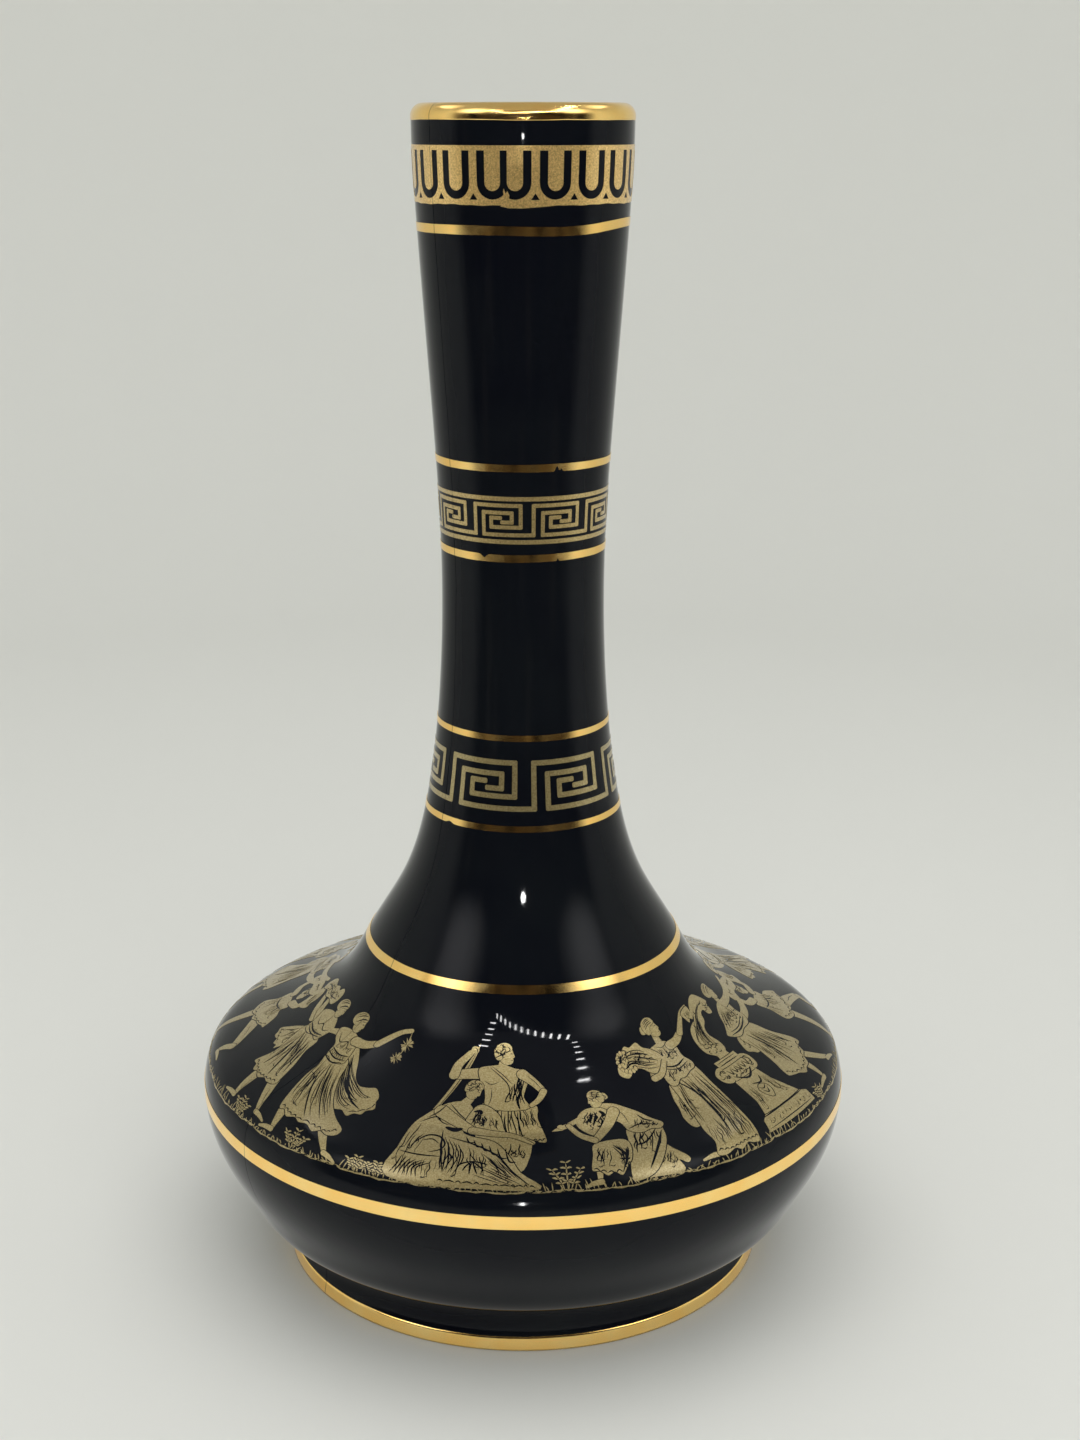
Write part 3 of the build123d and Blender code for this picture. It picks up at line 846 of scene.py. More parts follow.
        self.area(at([(0.26, 0.34), (0.34, 0.14), (0.43, -0.06), (0.36, -0.13), (0.38, -0.24), (0.31, -0.41),
                      (0.08, -0.46), (-0.18, -0.28), (-0.25, 0.1), (0.0, 0.36)]), 0.1)
        if hair == "knot":
            self.area(at([(-0.6, 0.18), (-0.44, 0.24), (-0.34, 0.02), (-0.44, -0.16), (-0.64, -0.1)]), 0.1)
        cap = [(0.31, 0.31), (0.17, 0.52), (-0.12, 0.57), (-0.42, 0.38), (-0.47, 0.06), (-0.32, -0.24),
               (-0.12, -0.2), (-0.08, 0.02), (0.06, 0.16), (0.2, 0.2)]
        if hair == "cap":
            cap[3:6] = [(-0.46, 0.42), (-0.66, 0.12), (-0.5, -0.16)]
        self.area(at(cap), 0.1)
        if hair == "curls":
            middle = at([(-0.12, 0.2)])[0]
            self.curls(*middle, 0.3 * size * widen, 0.28 * size, 13)
        elif hair == "cap":
            self.line(at([(0.26, 0.36), (-0.02, 0.24), (-0.3, -0.1)]), 0.24)
            self.line(at([(0.1, 0.5), (-0.2, 0.36), (-0.5, 0.06)]), 0.18)
            self.line(at([(-0.06, 0.54), (-0.34, 0.4), (-0.58, 0.12)]), 0.13)
        else:
            for lift in (0.0, 0.12, 0.24, 0.33):
                self.line(at([(0.22 - lift * 0.4, 0.3 + lift * 0.6), (-0.1, 0.22 + lift * 0.8),
                              (-0.36, 0.02 + lift)]), 0.14)
        self.line(at([(0.21, 0.07), (0.29, 0.08), (0.34, 0.05)]), 0.13)
        self.line(at([(0.26, -0.25), (0.33, -0.24), (0.37, -0.25)]), 0.1)

    def foot(self, heel, toe):
        self.limb([heel, ((heel[0] + toe[0]) / 2, (heel[1] + toe[1]) / 2 + 0.15), toe], [0.95, 0.8, 0.4], 0.1)


def youth():
    """A running youth in a short tunic, carrying a load on bent arms."""
    f = Figure("youth", 1)
    f.limb([(-90.2, 10), (-90.4, 6.5), (-90.9, 3.2), (-90.8, 1.0)], [2.7, 2.1, 1.5, 0.8])
    f.foot((-90.9, 0.9), (-88.2, 0.5))
    f.limb([(-86, 11), (-82.4, 9.2), (-79.2, 7.0), (-77.8, 5.6)], [2.9, 2.5, 1.9, 1.6])
    f.limb([(-77.9, 5.6), (-79.4, 4.2), (-80.4, 2.6)], [1.6, 1.4, 0.8])
    f.foot((-80.4, 2.3), (-77.4, 1.9))
    f.line([(-84, 9.6), (-81, 8.6), (-79, 7.2)], 0.14)
    f.area([(-93.2, 17.5), (-85.6, 17.2), (-85.4, 15.4), (-82.6, 14.6), (-80.2, 12), (-81.4, 11.6),
            (-83.5, 10.8), (-85, 10.6), (-87, 9.6), (-89, 9.9), (-91, 9.4), (-94.6, 11.2), (-93.2, 14.4)])
    f.pleats([(-92.5, 17), (-93, 14), (-93.6, 10.8)], [(-86, 16.4), (-84.4, 14), (-81.4, 12)], 11)
    f.line([(-93, 15.2), (-89.5, 14.6), (-85.6, 15.4)], 0.3)
    f.hem([(-94, 11.2), (-90.8, 9.8), (-87, 10), (-83.4, 11), (-81, 12.2)], 8)
    f.limb([(-91.8, 18), (-95.4, 19.2), (-96, 22)], [1.7, 1.5, 1.2])
    f.head(-88.6, 20.4, 3.5, 1, -12, "curls")
    f.limb([(-86.8, 17.8), (-83.2, 18.8), (-83.4, 21), (-85, 22.6)], [1.7, 1.4, 1.2, 0.9])
    f.area([(-97.6, 21.6), (-92, 22), (-88, 21.4), (-84.4, 22.4), (-84, 23.6), (-86.6, 24.4), (-90, 25),
            (-96.4, 24.2)])
    f.pleats([(-96.5, 22), (-95.5, 23.8)], [(-85.5, 22.7), (-86.5, 24)], 10, 0.2)
    f.line([(-96, 23), (-91, 23.4), (-85.4, 23.2)], 0.16)
    return f


def drum_dancer():
    """A dancer stepping right, both arms lifted to a bundle with a hanging cloth."""
    f = Figure("drum_dancer", 2)
    f.limb([(-63, 8), (-62.6, 5), (-62.4, 2.4)], [2.3, 1.8, 0.9])
    f.foot((-62.4, 1.9), (-66.0, 1.6))
    f.limb([(-57.4, 8.6), (-55.4, 5.6), (-54, 2.8)], [2.3, 1.8, 0.9])
    f.foot((-54, 2.2), (-51, 1.5))
    f.line([(-62.2, 6.8), (-62, 4.6), (-62, 3)], 0.13)
    f.line([(-56, 7), (-54.8, 5), (-53.8, 3.4)], 0.13)
    f.area([(-84, 25.4), (-85.4, 24.6), (-84.4, 23.4), (-84.2, 21.8), (-82.8, 20.6), (-82.4, 19.4),
            (-80.6, 19.8), (-79.4, 20.8), (-80.4, 21.6), (-80.6, 23), (-81.8, 24.6)])
    f.pleats([(-84.4, 25), (-83.4, 22), (-82, 20)], [(-81.6, 24.6), (-81.2, 22), (-80, 20.6)], 7, 0.18)
    f.limb([(-71.5, 21.2), (-75.5, 22.8), (-79.8, 25.4)], [1.7, 1.4, 0.9])
    f.limb([(-70.2, 21.8), (-73.2, 23.2), (-75.6, 25.6)], [1.6, 1.4, 1.0])
    f.area([(-86, 26), (-85, 27.6), (-82.6, 28.4), (-80, 27.8), (-77, 28.4), (-75.4, 27.9), (-73.6, 28.9),
            (-71.6, 28.4), (-71.2, 26.6), (-72.4, 25.2), (-76, 25.5), (-79, 25), (-82, 25.6), (-84.8, 24.9)])
    f.line([(-85, 26.2), (-81, 26.8), (-77, 26), (-72, 26.6)], 0.22)
    f.line([(-81.6, 28), (-80.4, 26.6), (-81.4, 25.4)], 0.2)
    f.line([(-75.8, 27.8), (-76.4, 26.4), (-75.2, 25.4)], 0.2)
    f.curls(-78.8, 26.8, 6.0, 1.0, 22)
    f.area([(-69.6, 19), (-71.8, 18.4), (-74, 16.8), (-75.6, 15.2), (-74.4, 14.4), (-73.4, 13.6),
            (-71.6, 13.6), (-70.6, 12.8), (-69.2, 13), (-68.4, 12.4), (-67.6, 16)])
    f.pleats([(-70.6, 18.4), (-74.6, 15.2)], [(-68.6, 17.4), (-69.6, 13.2)], 8)
    f.hem([(-75, 15), (-73, 14), (-70.6, 13.2)], 4)
    f.area([(-69.8, 19.8), (-61.4, 19.6), (-60.2, 16.4), (-58, 13), (-56.6, 9.4), (-56.4, 8), (-58.6, 7.4),
            (-60.2, 7.7), (-61.8, 6.9), (-63.6, 7.6), (-65, 7.2), (-66.2, 8.2), (-67.8, 8.6), (-67.2, 12.4),
            (-69, 16)])
    f.pleats([(-69, 19), (-67.8, 14), (-67, 9.2)], [(-65.4, 18.6), (-63.4, 13.4), (-62.4, 8.2)], 8)
    f.pleats([(-67.6, 19), (-63, 14.6), (-59.8, 8.6)], [(-62, 19), (-59.6, 14), (-57, 8.8)], 10, 0.26)
    f.line([(-67.4, 18.6), (-64.6, 15.6), (-62.4, 12), (-60.4, 8.2)], 0.42)
    f.line([(-66.4, 16), (-65.2, 12), (-65, 9)], 0.3)
    f.hem([(-67.4, 8.8), (-64, 7.5), (-60.6, 7.6), (-57, 8.2)], 9)
    f.area([(-71.8, 23.6), (-70.4, 24.5), (-67.8, 25), (-64, 24.8), (-61.6, 23.6), (-60.6, 22.4),
            (-61.2, 20.6), (-62, 19), (-64.4, 19.4), (-67, 18.9), (-69.6, 19.4), (-70.2, 21.2)])
    f.line([(-70, 20.8), (-65.6, 19.9), (-61.4, 20.5)], 0.3)
    f.line([(-69.6, 20), (-65.6, 19.3), (-61.8, 19.8)], 0.22)
    f.pleats([(-70, 20.9), (-69.6, 19.6)], [(-61.6, 20.6), (-61.8, 19.4)], 12, 0.16)
    f.line([(-70.2, 22.8), (-67.4, 21.4), (-65.8, 22.2), (-63.6, 21.2), (-61.4, 22)], 0.2)
    f.line([(-66, 24.6), (-65.6, 23), (-66, 21.6)], 0.13)
    f.head(-65.4, 26.3, 3.7, 1, -12, "cap")
    return f


def garland_dancer():
    """A striding dancer with a billowing cloak who holds two bunches of flowers out before her."""
    f = Figure("garland_dancer", 3)
    f.limb([(-49, 6.5), (-48.2, 3.6), (-48, 1.6)], [2.2, 1.6, 0.9])
    f.foot((-48, 1.2), (-51.2, 0.7))
    f.limb([(-38.6, 6), (-36.6, 3.4), (-35, 1.2)], [2.0, 1.5, 0.8])
    f.foot((-35.2, 1.2), (-32.6, 0.2))
    f.limb([(-54.6, 22.6), (-58, 22.9), (-61.2, 22.2)], [1.8, 1.4, 1.0])
    f.area([(-48, 22.6), (-44.6, 20.6), (-41, 17), (-38.4, 15.6), (-36, 15.8), (-34, 16.2), (-32.2, 14.8),
            (-31.8, 13.4), (-31.2, 12), (-32.6, 11.2), (-33, 10.2), (-34.6, 9.9), (-35.6, 9), (-37.4, 9.8),
            (-38.6, 9.6), (-41, 9.6), (-44, 14), (-48, 18)])
    f.pleats([(-47.6, 21.6), (-42.6, 17.6), (-36.4, 14.8), (-32.8, 14.4)],
             [(-46.6, 19), (-42.6, 13.4), (-39.8, 10.6), (-36, 9.8)], 16)
    f.line([(-46.8, 20.8), (-42.4, 16), (-38, 12.6), (-34, 11)], 0.4)
    f.hem([(-32, 14), (-31.8, 12.4), (-33.4, 10.8), (-36, 9.8)], 5, 0.3)
    f.area([(-54, 19.4), (-46.8, 19.4), (-44.4, 15.4), (-41, 11), (-37.4, 8), (-34.4, 6.2), (-34.6, 4.8),
            (-36.4, 4.2), (-38, 4.6), (-39.6, 3.9), (-41.6, 4.7), (-43.4, 4.4), (-45, 4.9), (-46.8, 4.3),
            (-48.4, 5.3), (-49.8, 5.2), (-51.4, 9), (-52.6, 13), (-52.8, 16)])
    f.pleats([(-53.2, 18.8), (-51.8, 12), (-49.4, 5.8)], [(-50.4, 18.6), (-48.4, 12.4), (-45.4, 5.4)], 8)
    f.pleats([(-51.6, 18.4), (-46.8, 11), (-42, 5.2)], [(-47.2, 18.6), (-42.6, 12.4), (-36, 6)], 12, 0.19)
    f.line([(-51, 15.4), (-47.4, 10.4), (-43, 5.4)], 0.28)
    f.line([(-49, 17), (-45, 11.6), (-40, 6.4)], 0.24)
    f.line([(-52.4, 14), (-50.6, 13.6), (-49.4, 11.4), (-49.4, 8.4)], 0.2)
    f.hem([(-49.8, 5.7), (-46, 4.9), (-41.6, 4.9), (-37.4, 4.6), (-35, 5.4)], 11)
    f.area([(-58.6, 23.8), (-56, 24.6), (-51.6, 24.4), (-49, 23.2), (-47.8, 21), (-47.2, 18.4),
            (-48.6, 18.2), (-50.8, 17.6), (-52.6, 18.2), (-54, 18.4), (-55, 20.8), (-57.2, 22)])
    for rise in (19.9, 18.9, 17.9):
        f.line([(-54.6, rise + 0.3), (-50.8, rise - 0.4), (-47.4, rise + 0.1)], 0.26)
    f.pleats([(-54.4, 20.2), (-54, 18.6)], [(-47.8, 19.8), (-47.6, 18.4)], 14, 0.17)
    f.line([(-57, 23.4), (-54.4, 21.6), (-52, 22.4), (-50.4, 21.2), (-48.4, 21.8)], 0.2)
    f.line([(-51.6, 24), (-52, 22), (-51.6, 20.6)], 0.13)
    f.pleats([(-53.8, 22), (-54, 20.4)], [(-48.8, 21.4), (-48.4, 20)], 8, 0.16)
    f.limb([(-50.2, 23.2), (-46.4, 23.4), (-42.6, 24.6)], [1.9, 1.7, 1.4])
    f.limb([(-42.8, 24.5), (-40.2, 26.6), (-37.4, 28.2), (-34.6, 28.9)], [1.4, 1.2, 0.9, 0.8])
    f.head(-53.8, 26.4, 3.9, 1, -10, "cap")
    for x, y, reach in ((-33.9, 26.2, 1.15), (-34.8, 23.2, 0.95)):
        for k in range(9):
            turn = k * FULL_TURN / 9
            tip = (x + 1.5 * reach * math.cos(turn), y + 1.05 * reach * math.sin(turn))
            f.area([(x - 0.2, y), (tip[0] - 0.3, tip[1] + 0.2), tip, (tip[0] + 0.3, tip[1] - 0.2)], 0.1)
    f.line([(-34.2, 28.6), (-34, 26), (-34.6, 23.4)], 0.16, gold=True)
    return f


def standing_man(f):
    """Half draped, one hand high on a staff and the other on the hip."""
    f.area([(-8.6, 17.4), (2.2, 17.2), (3.0, 14), (4.4, 9.4), (3.2, 9.0), (1.9, 9.3), (1.2, 6), (-0.6, 3),
            (-6, 4), (-9, 10)])
    f.pleats([(-5.4, 17), (-5.2, 13), (-4.4, 8)], [(-0.6, 17), (0.4, 13), (1.2, 9.4)], 9, 0.26)
    f.pleats([(-1.4, 17), (0.2, 13), (1.4, 9.6)], [(2, 17), (3, 13), (4, 9.8)], 7)
    f.pleats([(-4.6, 9), (-3.6, 4.6)], [(1, 8.6), (-0.4, 4.4)], 9, 0.26)
    f.hem([(1.9, 9.4), (3.2, 9.1), (4.3, 9.5)], 3)
    f.line([(-19.8, 12.4), (-16, 21), (-12.2, 29)], 0.66, gold=True)
    f.line([(-19.2, 13.2), (-15.8, 21), (-12.6, 28.2)], 0.14)
    f.limb([(-10.6, 23.3), (-14.4, 22.9), (-17.2, 22.4)], [2.2, 2.0, 1.7])
    f.area([(-11.4, 24.2), (-8.6, 24.9), (-5, 25.2), (-2.2, 24.6), (0.4, 24.2), (1.4, 22.6), (0.6, 20.4),
            (0.2, 18.6), (1.4, 16.4), (-3.6, 15.8), (-8, 16.4), (-8.6, 18.6), (-9.2, 20.4), (-10.6, 22)])
    f.line([(-8.6, 24.6), (-5.4, 22.8), (-3.4, 21), (-3, 18.4)], 0.18)
    f.line([(-8.2, 24.9), (-5, 23.2), (-2.6, 21.4)], 0.14)
    f.line([(-9.6, 21.9), (-7.6, 21.2), (-5.6, 21.9)], 0.14)
    f.line([(-7.4, 20.6), (-7.2, 18.4), (-7.6, 16.8)], 0.12)
    f.pleats([(-3.4, 22), (-3.6, 19.4), (-4.6, 16.2)], [(-1, 23.6), (-1, 20), (-1, 16.4)], 6, 0.28)
    f.pleats([(-1.4, 24), (-1.4, 20), (-1.6, 16.4)], [(0.6, 23.2), (-0.2, 20), (0.8, 16.8)], 7)
    f.line([(-0.6, 20), (-1.2, 18), (-0.6, 16)], 0.4)
    f.limb([(-17.4, 22.4), (-17, 24.6), (-14.6, 27)], [1.8, 1.5, 1.1])
    f.disc((-13.5 * DEGREE, 27.7), 0.7)
    f.line([(-13.8, 28.1), (-13, 27.8), (-12.8, 27.2)], 0.12)
    f.limb([(-0.2, 23.5), (2.6, 21.8), (4.8, 19.9)], [1.9, 1.5, 1.2])
    f.limb([(4.8, 19.9), (3.6, 18.2), (1.9, 17)], [1.2, 1.0, 0.8])
    f.line([(1, 23.2), (3, 21.8), (4.4, 20.4)], 0.12)
    f.limb([(-5.2, 25.8), (-5.4, 24.6)], [1.4, 1.6], 0.0)
    f.head(-5.0, 27.1, 3.9, 1, 0, "curls")
    f.line([(-7.9, 26.4), (-5.8, 27.2), (-3.6, 28)], 0.2)


def seated_woman(f):
    """Bent forward over her knees, one arm stretched to the right."""
    f.area([(-22.6, 0.3), (-22.4, 5.6), (-21.8, 10.6), (-20, 13.4), (-17.2, 16), (-13.4, 17.2), (-11, 16.2),
            (-10, 13.6), (-11.6, 11), (-10, 9.9), (-5.4, 9.0), (-2.6, 6.4), (-0.4, 3.0), (2.8, 0.3),
            (-8, 0.1)])
    f.pleats([(-21, 12), (-22, 7), (-22, 1)], [(-17.4, 10.4), (-18.6, 7), (-18.8, 5)], 7)
    f.line([(-20.6, 11.6), (-17.8, 13.2), (-16, 12)], 0.24)
    f.line([(-22, 5.1), (-18.4, 4.9), (-13.8, 5.1)], 0.24)
    f.pleats([(-22, 4.6), (-21.6, 0.8)], [(-14.6, 4.6), (-14.8, 0.8)], 12, 0.18)
    f.line([(-20.1, 5.7), (-19.6, 7.4), (-17.8, 9.1), (-15.5, 9.1), (-14.2, 7.7), (-14.8, 6.4),
            (-16.8, 5.6)], 0.3)
    f.line([(-18.6, 7.8), (-16.8, 8.4), (-15.2, 7.6)], 0.2)
    for k in range(4):
        f.line([(-14.6 + 0.9 * k, 9.2 - 0.4 * k), (-13 + 0.9 * k, 6.2 - 0.3 * k),
                (-14.2 + 0.8 * k, 2.4 - 0.2 * k)], 0.2)
    for k in range(6):
        f.line([(-10.6 + 1.5 * k, 9.6 - 0.5 * k), (-9.8 + 1.5 * k, 8.5 - 0.7 * k),
                (-8.6 + 1.5 * k, 8.7 - 0.75 * k)], 0.28)
    for k in range(7):
        f.line([(-21 + 0.9 * k, 4.3 - 0.1 * k), (-21.4 + 0.6 * k, 2.6), (-22.4 + 0.8 * k, 0.9)], 0.24)
    for turn in np.linspace(3.5, 6.1, 6):
        f.line([(-8.6, 4.8), (-8.6 + 1.6 * math.cos(turn), 4.8 + 1.4 * math.sin(turn)),
                (-8.4 + 2.6 * math.cos(turn), 4.6 + 2.3 * math.sin(turn))], 0.26)
    f.pleats([(-15.2, 9), (-14.4, 5), (-13.8, 1)], [(-11.6, 8.8), (-10.6, 5), (-11, 1)], 7, 0.28)
    f.line([(-15.4, 10.6), (-14.6, 6.6), (-13.4, 2.4)], 0.3)
    f.line([(-14, 9.3), (-9, 8.2), (-4.6, 6.2), (-1.8, 3.2), (1.4, 0.6)], 0.3)
    f.pleats([(-10.4, 7.6), (-9.4, 4.4), (-9, 0.6)], [(-7, 7), (-6, 4.2), (-5.8, 0.6)], 8)
    f.pleats([(-8.4, 6.8), (-5, 4), (-2.6, 0.8)], [(-4.6, 6), (-1.8, 3.2), (1, 0.8)], 10, 0.18)
    f.pleats([(-9.6, 2.6), (-5, 1.4), (-2, 0.5)], [(-6, 4.4), (-2, 2.4), (1.6, 0.6)], 6, 0.2)
    f.hem([(-14, 0.9), (-8, 0.8), (-2, 0.7), (2, 0.5)], 12, 0.4)
    f.area([(-10.6, 15.6), (-9, 16.8), (-6.8, 16.2), (-4.8, 14.6), (-3.8, 12), (-3.4, 10.2), (-8, 10.4),
            (-11.8, 11.4)])
    f.pleats([(-10, 15.6), (-10.6, 12)], [(-7.6, 15.4), (-7.2, 11.4)], 8, 0.3)
    f.pleats([(-7.4, 15.6), (-6, 11)], [(-5.4, 14.4), (-4.2, 11)], 5)
    f.curls(-9.2, 13.4, 1.6, 1.6, 9)
    f.line([(-10.4, 15.2), (-9, 15.4), (-8.6, 14.6)], 0.55)
    f.limb([(-17.2, 14.6), (-13.4, 12.8), (-9.6, 11)], [2.5, 2.0, 1.5])
    f.limb([(-9.8, 11.1), (-5.6, 10.7), (-2, 10.4), (1.8, 8.9)], [1.5, 1.2, 0.9, 0.8])
    f.line([(0.2, 9.9), (1.4, 9.2), (2.2, 8.6)], 0.12)
    f.line([(-15.8, 16.4), (-13.2, 14.4), (-11.4, 13.2)], 0.2)
    f.line([(-16.4, 16.2), (-17.8, 14.2), (-19.4, 12.8)], 0.24)
    f.line([(-17.6, 13), (-15.6, 12), (-14.4, 12)], 0.18)
    f.line([(-15.2, 11.3), (-13.2, 10.9), (-11.6, 11.4)], 0.8)
    f.limb([(-11.8, 18), (-12.8, 16.6)], [1.4, 1.8], 0.0)
    f.head(-11.6, 19.7, 3.7, 1, -32, "curls")


def staff_bearer():
    """A standing man with a long staff, behind a seated woman."""
    f = Figure("staff_bearer", 4)
    standing_man(f)
    seated_woman(f)
    return f


def piper():
    """A kneeling player bent over a short pipe."""
    f = Figure("piper", 5)
    f.area([(24.4, 6.4), (26.6, 4.4), (28.8, 2.2), (28.2, 1.4), (26.8, 2.2), (27.2, 0.2), (22, 0.3),
            (18, 0.6), (20, 4)])
    f.pleats([(24, 5.6), (21.6, 1)], [(26.8, 3.6), (26.4, 0.8)], 9)
    f.area([(20.4, 10.2), (26.2, 10.0), (26.8, 8), (25.8, 5.4), (22.6, 1.4), (19.4, 0.2), (18.0, 0.8),
            (18.4, 4), (19.4, 7.6)])
    f.pleats([(21, 9.8), (19.8, 6.6), (19.2, 4)], [(26.2, 9.6), (26, 7), (24.4, 4.4)], 10, 0.28)
    f.line([(26.4, 8.4), (24, 5.2), (21.2, 1.6)], 0.4)
    f.line([(25.8, 9.2), (22.6, 6.8), (20, 6.4)], 0.3)
    f.limb([(12.8, 3.4), (12.6, 1.2)], [1.3, 0.8])
    f.foot((12.8, 0.8), (10.2, 0.2))
    f.area([(13, 7.8), (17.8, 8.2), (19.4, 7), (18.8, 4.2), (17.4, 2.6), (16.4, 1.5), (15.2, 2.2),
            (14, 1.7), (12.8, 2.6), (11.5, 2.9), (12.2, 5.6)])
    f.pleats([(13.6, 7.6), (12.6, 5), (12.6, 2.8)], [(16, 7.6), (15.2, 5), (14.2, 2.2)], 7)
    f.pleats([(15.6, 7.6), (17, 4.6), (16, 2)], [(19, 6.8), (18.4, 4.8), (17.4, 3)], 8, 0.3)
    f.line([(16.2, 7.2), (18, 4.8), (16.8, 2.4)], 0.45)
    f.hem([(11.8, 3), (14, 2.1), (16.6, 1.9), (18.4, 3.4)], 6)
    f.area([(16.4, 16), (19.4, 15.9), (21.6, 14.8), (24, 13.2), (25.8, 11.4), (27.6, 9.9), (26.6, 8.9),
            (24.8, 9.2), (22.6, 8.8), (20.4, 9.6), (19.4, 11.6), (17.4, 13)])
    f.pleats([(22.8, 12.6), (21.4, 9.6)], [(27, 10), (26, 9.2)], 10, 0.26)
    f.line([(20.4, 10), (23.2, 10.6), (26.8, 9.6)], 0.24)
    f.line([(23.4, 12.8), (24.4, 11.4), (26, 10.6)], 0.3)
    f.line([(18.6, 15.4), (20.6, 13.4), (21, 11)], 0.13)
    f.area([(14.4, 15.6), (17.6, 14.8), (17.4, 12), (15.6, 9.6), (13, 9.8), (10.6, 12.2), (11.8, 14.6)])
    f.pleats([(13.4, 15), (11.6, 12.4)], [(17, 14.2), (15.6, 10.4)], 9, 0.34)
    f.curls(13.8, 12.6, 2.0, 1.9, 12)
    f.line([(16, 14.8), (16.7, 14), (16.2, 13.4)], 0.6)
    f.line([(12.6, 14.2), (9.2, 12.4), (5.6, 11.2)], 0.75, gold=True)
    f.limb([(19, 14.2), (16.6, 11.4), (13.4, 8.6)], [2.0, 1.6, 1.2])
    f.limb([(13.3, 8.6), (10.8, 10), (9, 12.2)], [1.2, 1.0, 0.9])
    f.disc((7.4 * DEGREE, 11.9), 0.62)
    f.line([(6.4, 12), (7.2, 11.6), (7.8, 11.4)], 0.12)
    f.head(16.2, 17.2, 3.5, -1, 14)
    f.curls(16.8, 17.9, 1.8, 0.8, 8)
    return f


def horn_bearer():
    """A tall draped woman with a horn of fruit on one arm, the other reaching out to the right."""
    f = Figure("horn_bearer", 6)
    f.foot((35, 1.2), (31.2, 1.0))
    f.area([(34.8, 17), (33.2, 14), (32.8, 11.6), (32.2, 9.6), (32.6, 7.6), (33.6, 7), (35.2, 8), (35.8, 14)])
    f.pleats([(34.2, 15.6), (32.9, 8)], [(35.4, 14.4), (34.8, 8)], 6, 0.22)
    f.area([(35.8, 18.6), (44, 19.4), (44.6, 14), (44.2, 7), (43.8, 1.2), (42.4, 0.8), (41, 1.3),
            (39.4, 0.6), (38, 1.2), (36, 0.7), (34.2, 1.2), (34.8, 3.4), (34.2, 6), (34.6, 10), (34.8, 14)])
    f.pleats([(39.6, 18.6), (39.6, 10), (39.2, 1.6)], [(44.2, 18.8), (44.2, 9), (43.4, 1.6)], 11)
    f.pleats([(36.4, 17.4), (35.2, 11), (35, 6)], [(37.8, 18), (36.6, 13), (35.8, 7)], 6, 0.22)
    f.pleats([(37, 18), (39.2, 12), (39.2, 5)], [(40.6, 18.4), (41, 12), (40.8, 5)], 5, 0.3)
    f.line([(36.8, 17.4), (39.2, 13.6), (39.4, 8.6), (38.8, 3.4)], 0.42)
    f.pleats([(35, 7), (35, 1.6)], [(39, 8), (38.8, 1.4)], 8, 0.2)
    f.pleats([(40.4, 9), (39.8, 1.6)], [(43.8, 8), (43.4, 1.6)], 8, 0.3)
    f.hem([(34.6, 1.6), (38, 1.3), (41, 1.5), (43.8, 1.5)], 9, 0.4)
    f.area([(34.8, 24), (38, 25.2), (42, 25.4), (44.4, 23.8), (44, 21.6), (45, 19.8), (44.4, 18.6),
            (42.4, 18.2), (40, 17.4), (38.4, 17.4), (36.6, 16.4), (35.2, 16.6), (34.8, 18), (35.2, 20.6)])
    f.line([(36, 21), (40, 20.1), (44, 21)], 0.32)
    f.line([(36, 20.4), (40, 19.4), (44.2, 20.2)], 0.2)
    f.line([(36.8, 23.8), (39.4, 22.2), (41.4, 23), (43.4, 22.2)], 0.2)
    f.line([(40.6, 25), (40.4, 23), (41, 21.4)], 0.14)
    f.pleats([(36.4, 20), (35.6, 17)], [(44.2, 20), (44.2, 18.8)], 15)
    f.pleats([(37, 24.6), (37.2, 21.2)], [(43.6, 24.4), (43.2, 21.4)], 11, 0.2)
    f.limb([(36.6, 23.4), (34, 21.2), (32.4, 19)], [1.9, 1.6, 1.3])
    f.area([(38.4, 22.6), (36.8, 24.6), (34.4, 25.6), (33.2, 26.8), (30.6, 26.2), (29.2, 26.6),
            (27.4, 25.4), (26.6, 23.8), (25, 23.2), (24.4, 21.4), (26, 20.4), (27.4, 20.9), (28.6, 22),
            (31, 21.6), (32.8, 20.2), (35.2, 20.2)])
    f.pleats([(37, 23.2), (33, 25.4), (29, 25.4), (25.8, 22.8)], [(36, 21), (32.6, 21.2), (29, 22.6),
                                                                  (26, 21.4)], 10, 0.26)
    for k in range(11):
        turn = 1.4 + k * 0.4
        u, v = 27.8 + 2.4 * math.cos(turn), 23.6 + 2.0 * math.sin(turn)
        f.area([(u - 0.5, v), (u + 0.1, v + 0.5), (u + 0.5, v - 0.1), (u - 0.1, v - 0.5)], 0.1)
    f.curls(28.6, 24, 3.4, 1.8, 24)
    f.curls(33.4, 23.6, 2.2, 1.5, 8)
    f.limb([(32.4, 19), (35, 19.6), (38, 21.8)], [1.3, 1.1, 0.9])
    f.disc((38.6 * DEGREE, 22.2), 0.6)
    f.limb([(42.8, 24.2), (46, 24.6), (49, 25.6)], [1.7, 1.5, 1.2])
    f.limb([(49, 25.5), (52, 27.2), (55, 28.6), (58.4, 29.1)], [1.2, 1.0, 0.8, 0.6])
    f.area([(54.6, 28.4), (58.8, 29), (58.8, 27.4), (57.6, 26.4), (56.6, 26.8), (55.4, 26.2), (54.8, 27.2)])
    f.pleats([(55.2, 28.2), (55.8, 26.8)], [(58.4, 28.4), (58, 27)], 6, 0.18)
    f.limb([(40.4, 26.8), (40.4, 25)], [1.2, 1.5], 0.0)
    f.line([(38, 25), (40.2, 24.4), (42.4, 25)], 0.14)
    f.head(40.6, 28.3, 3.8, 1, 0)
    return f


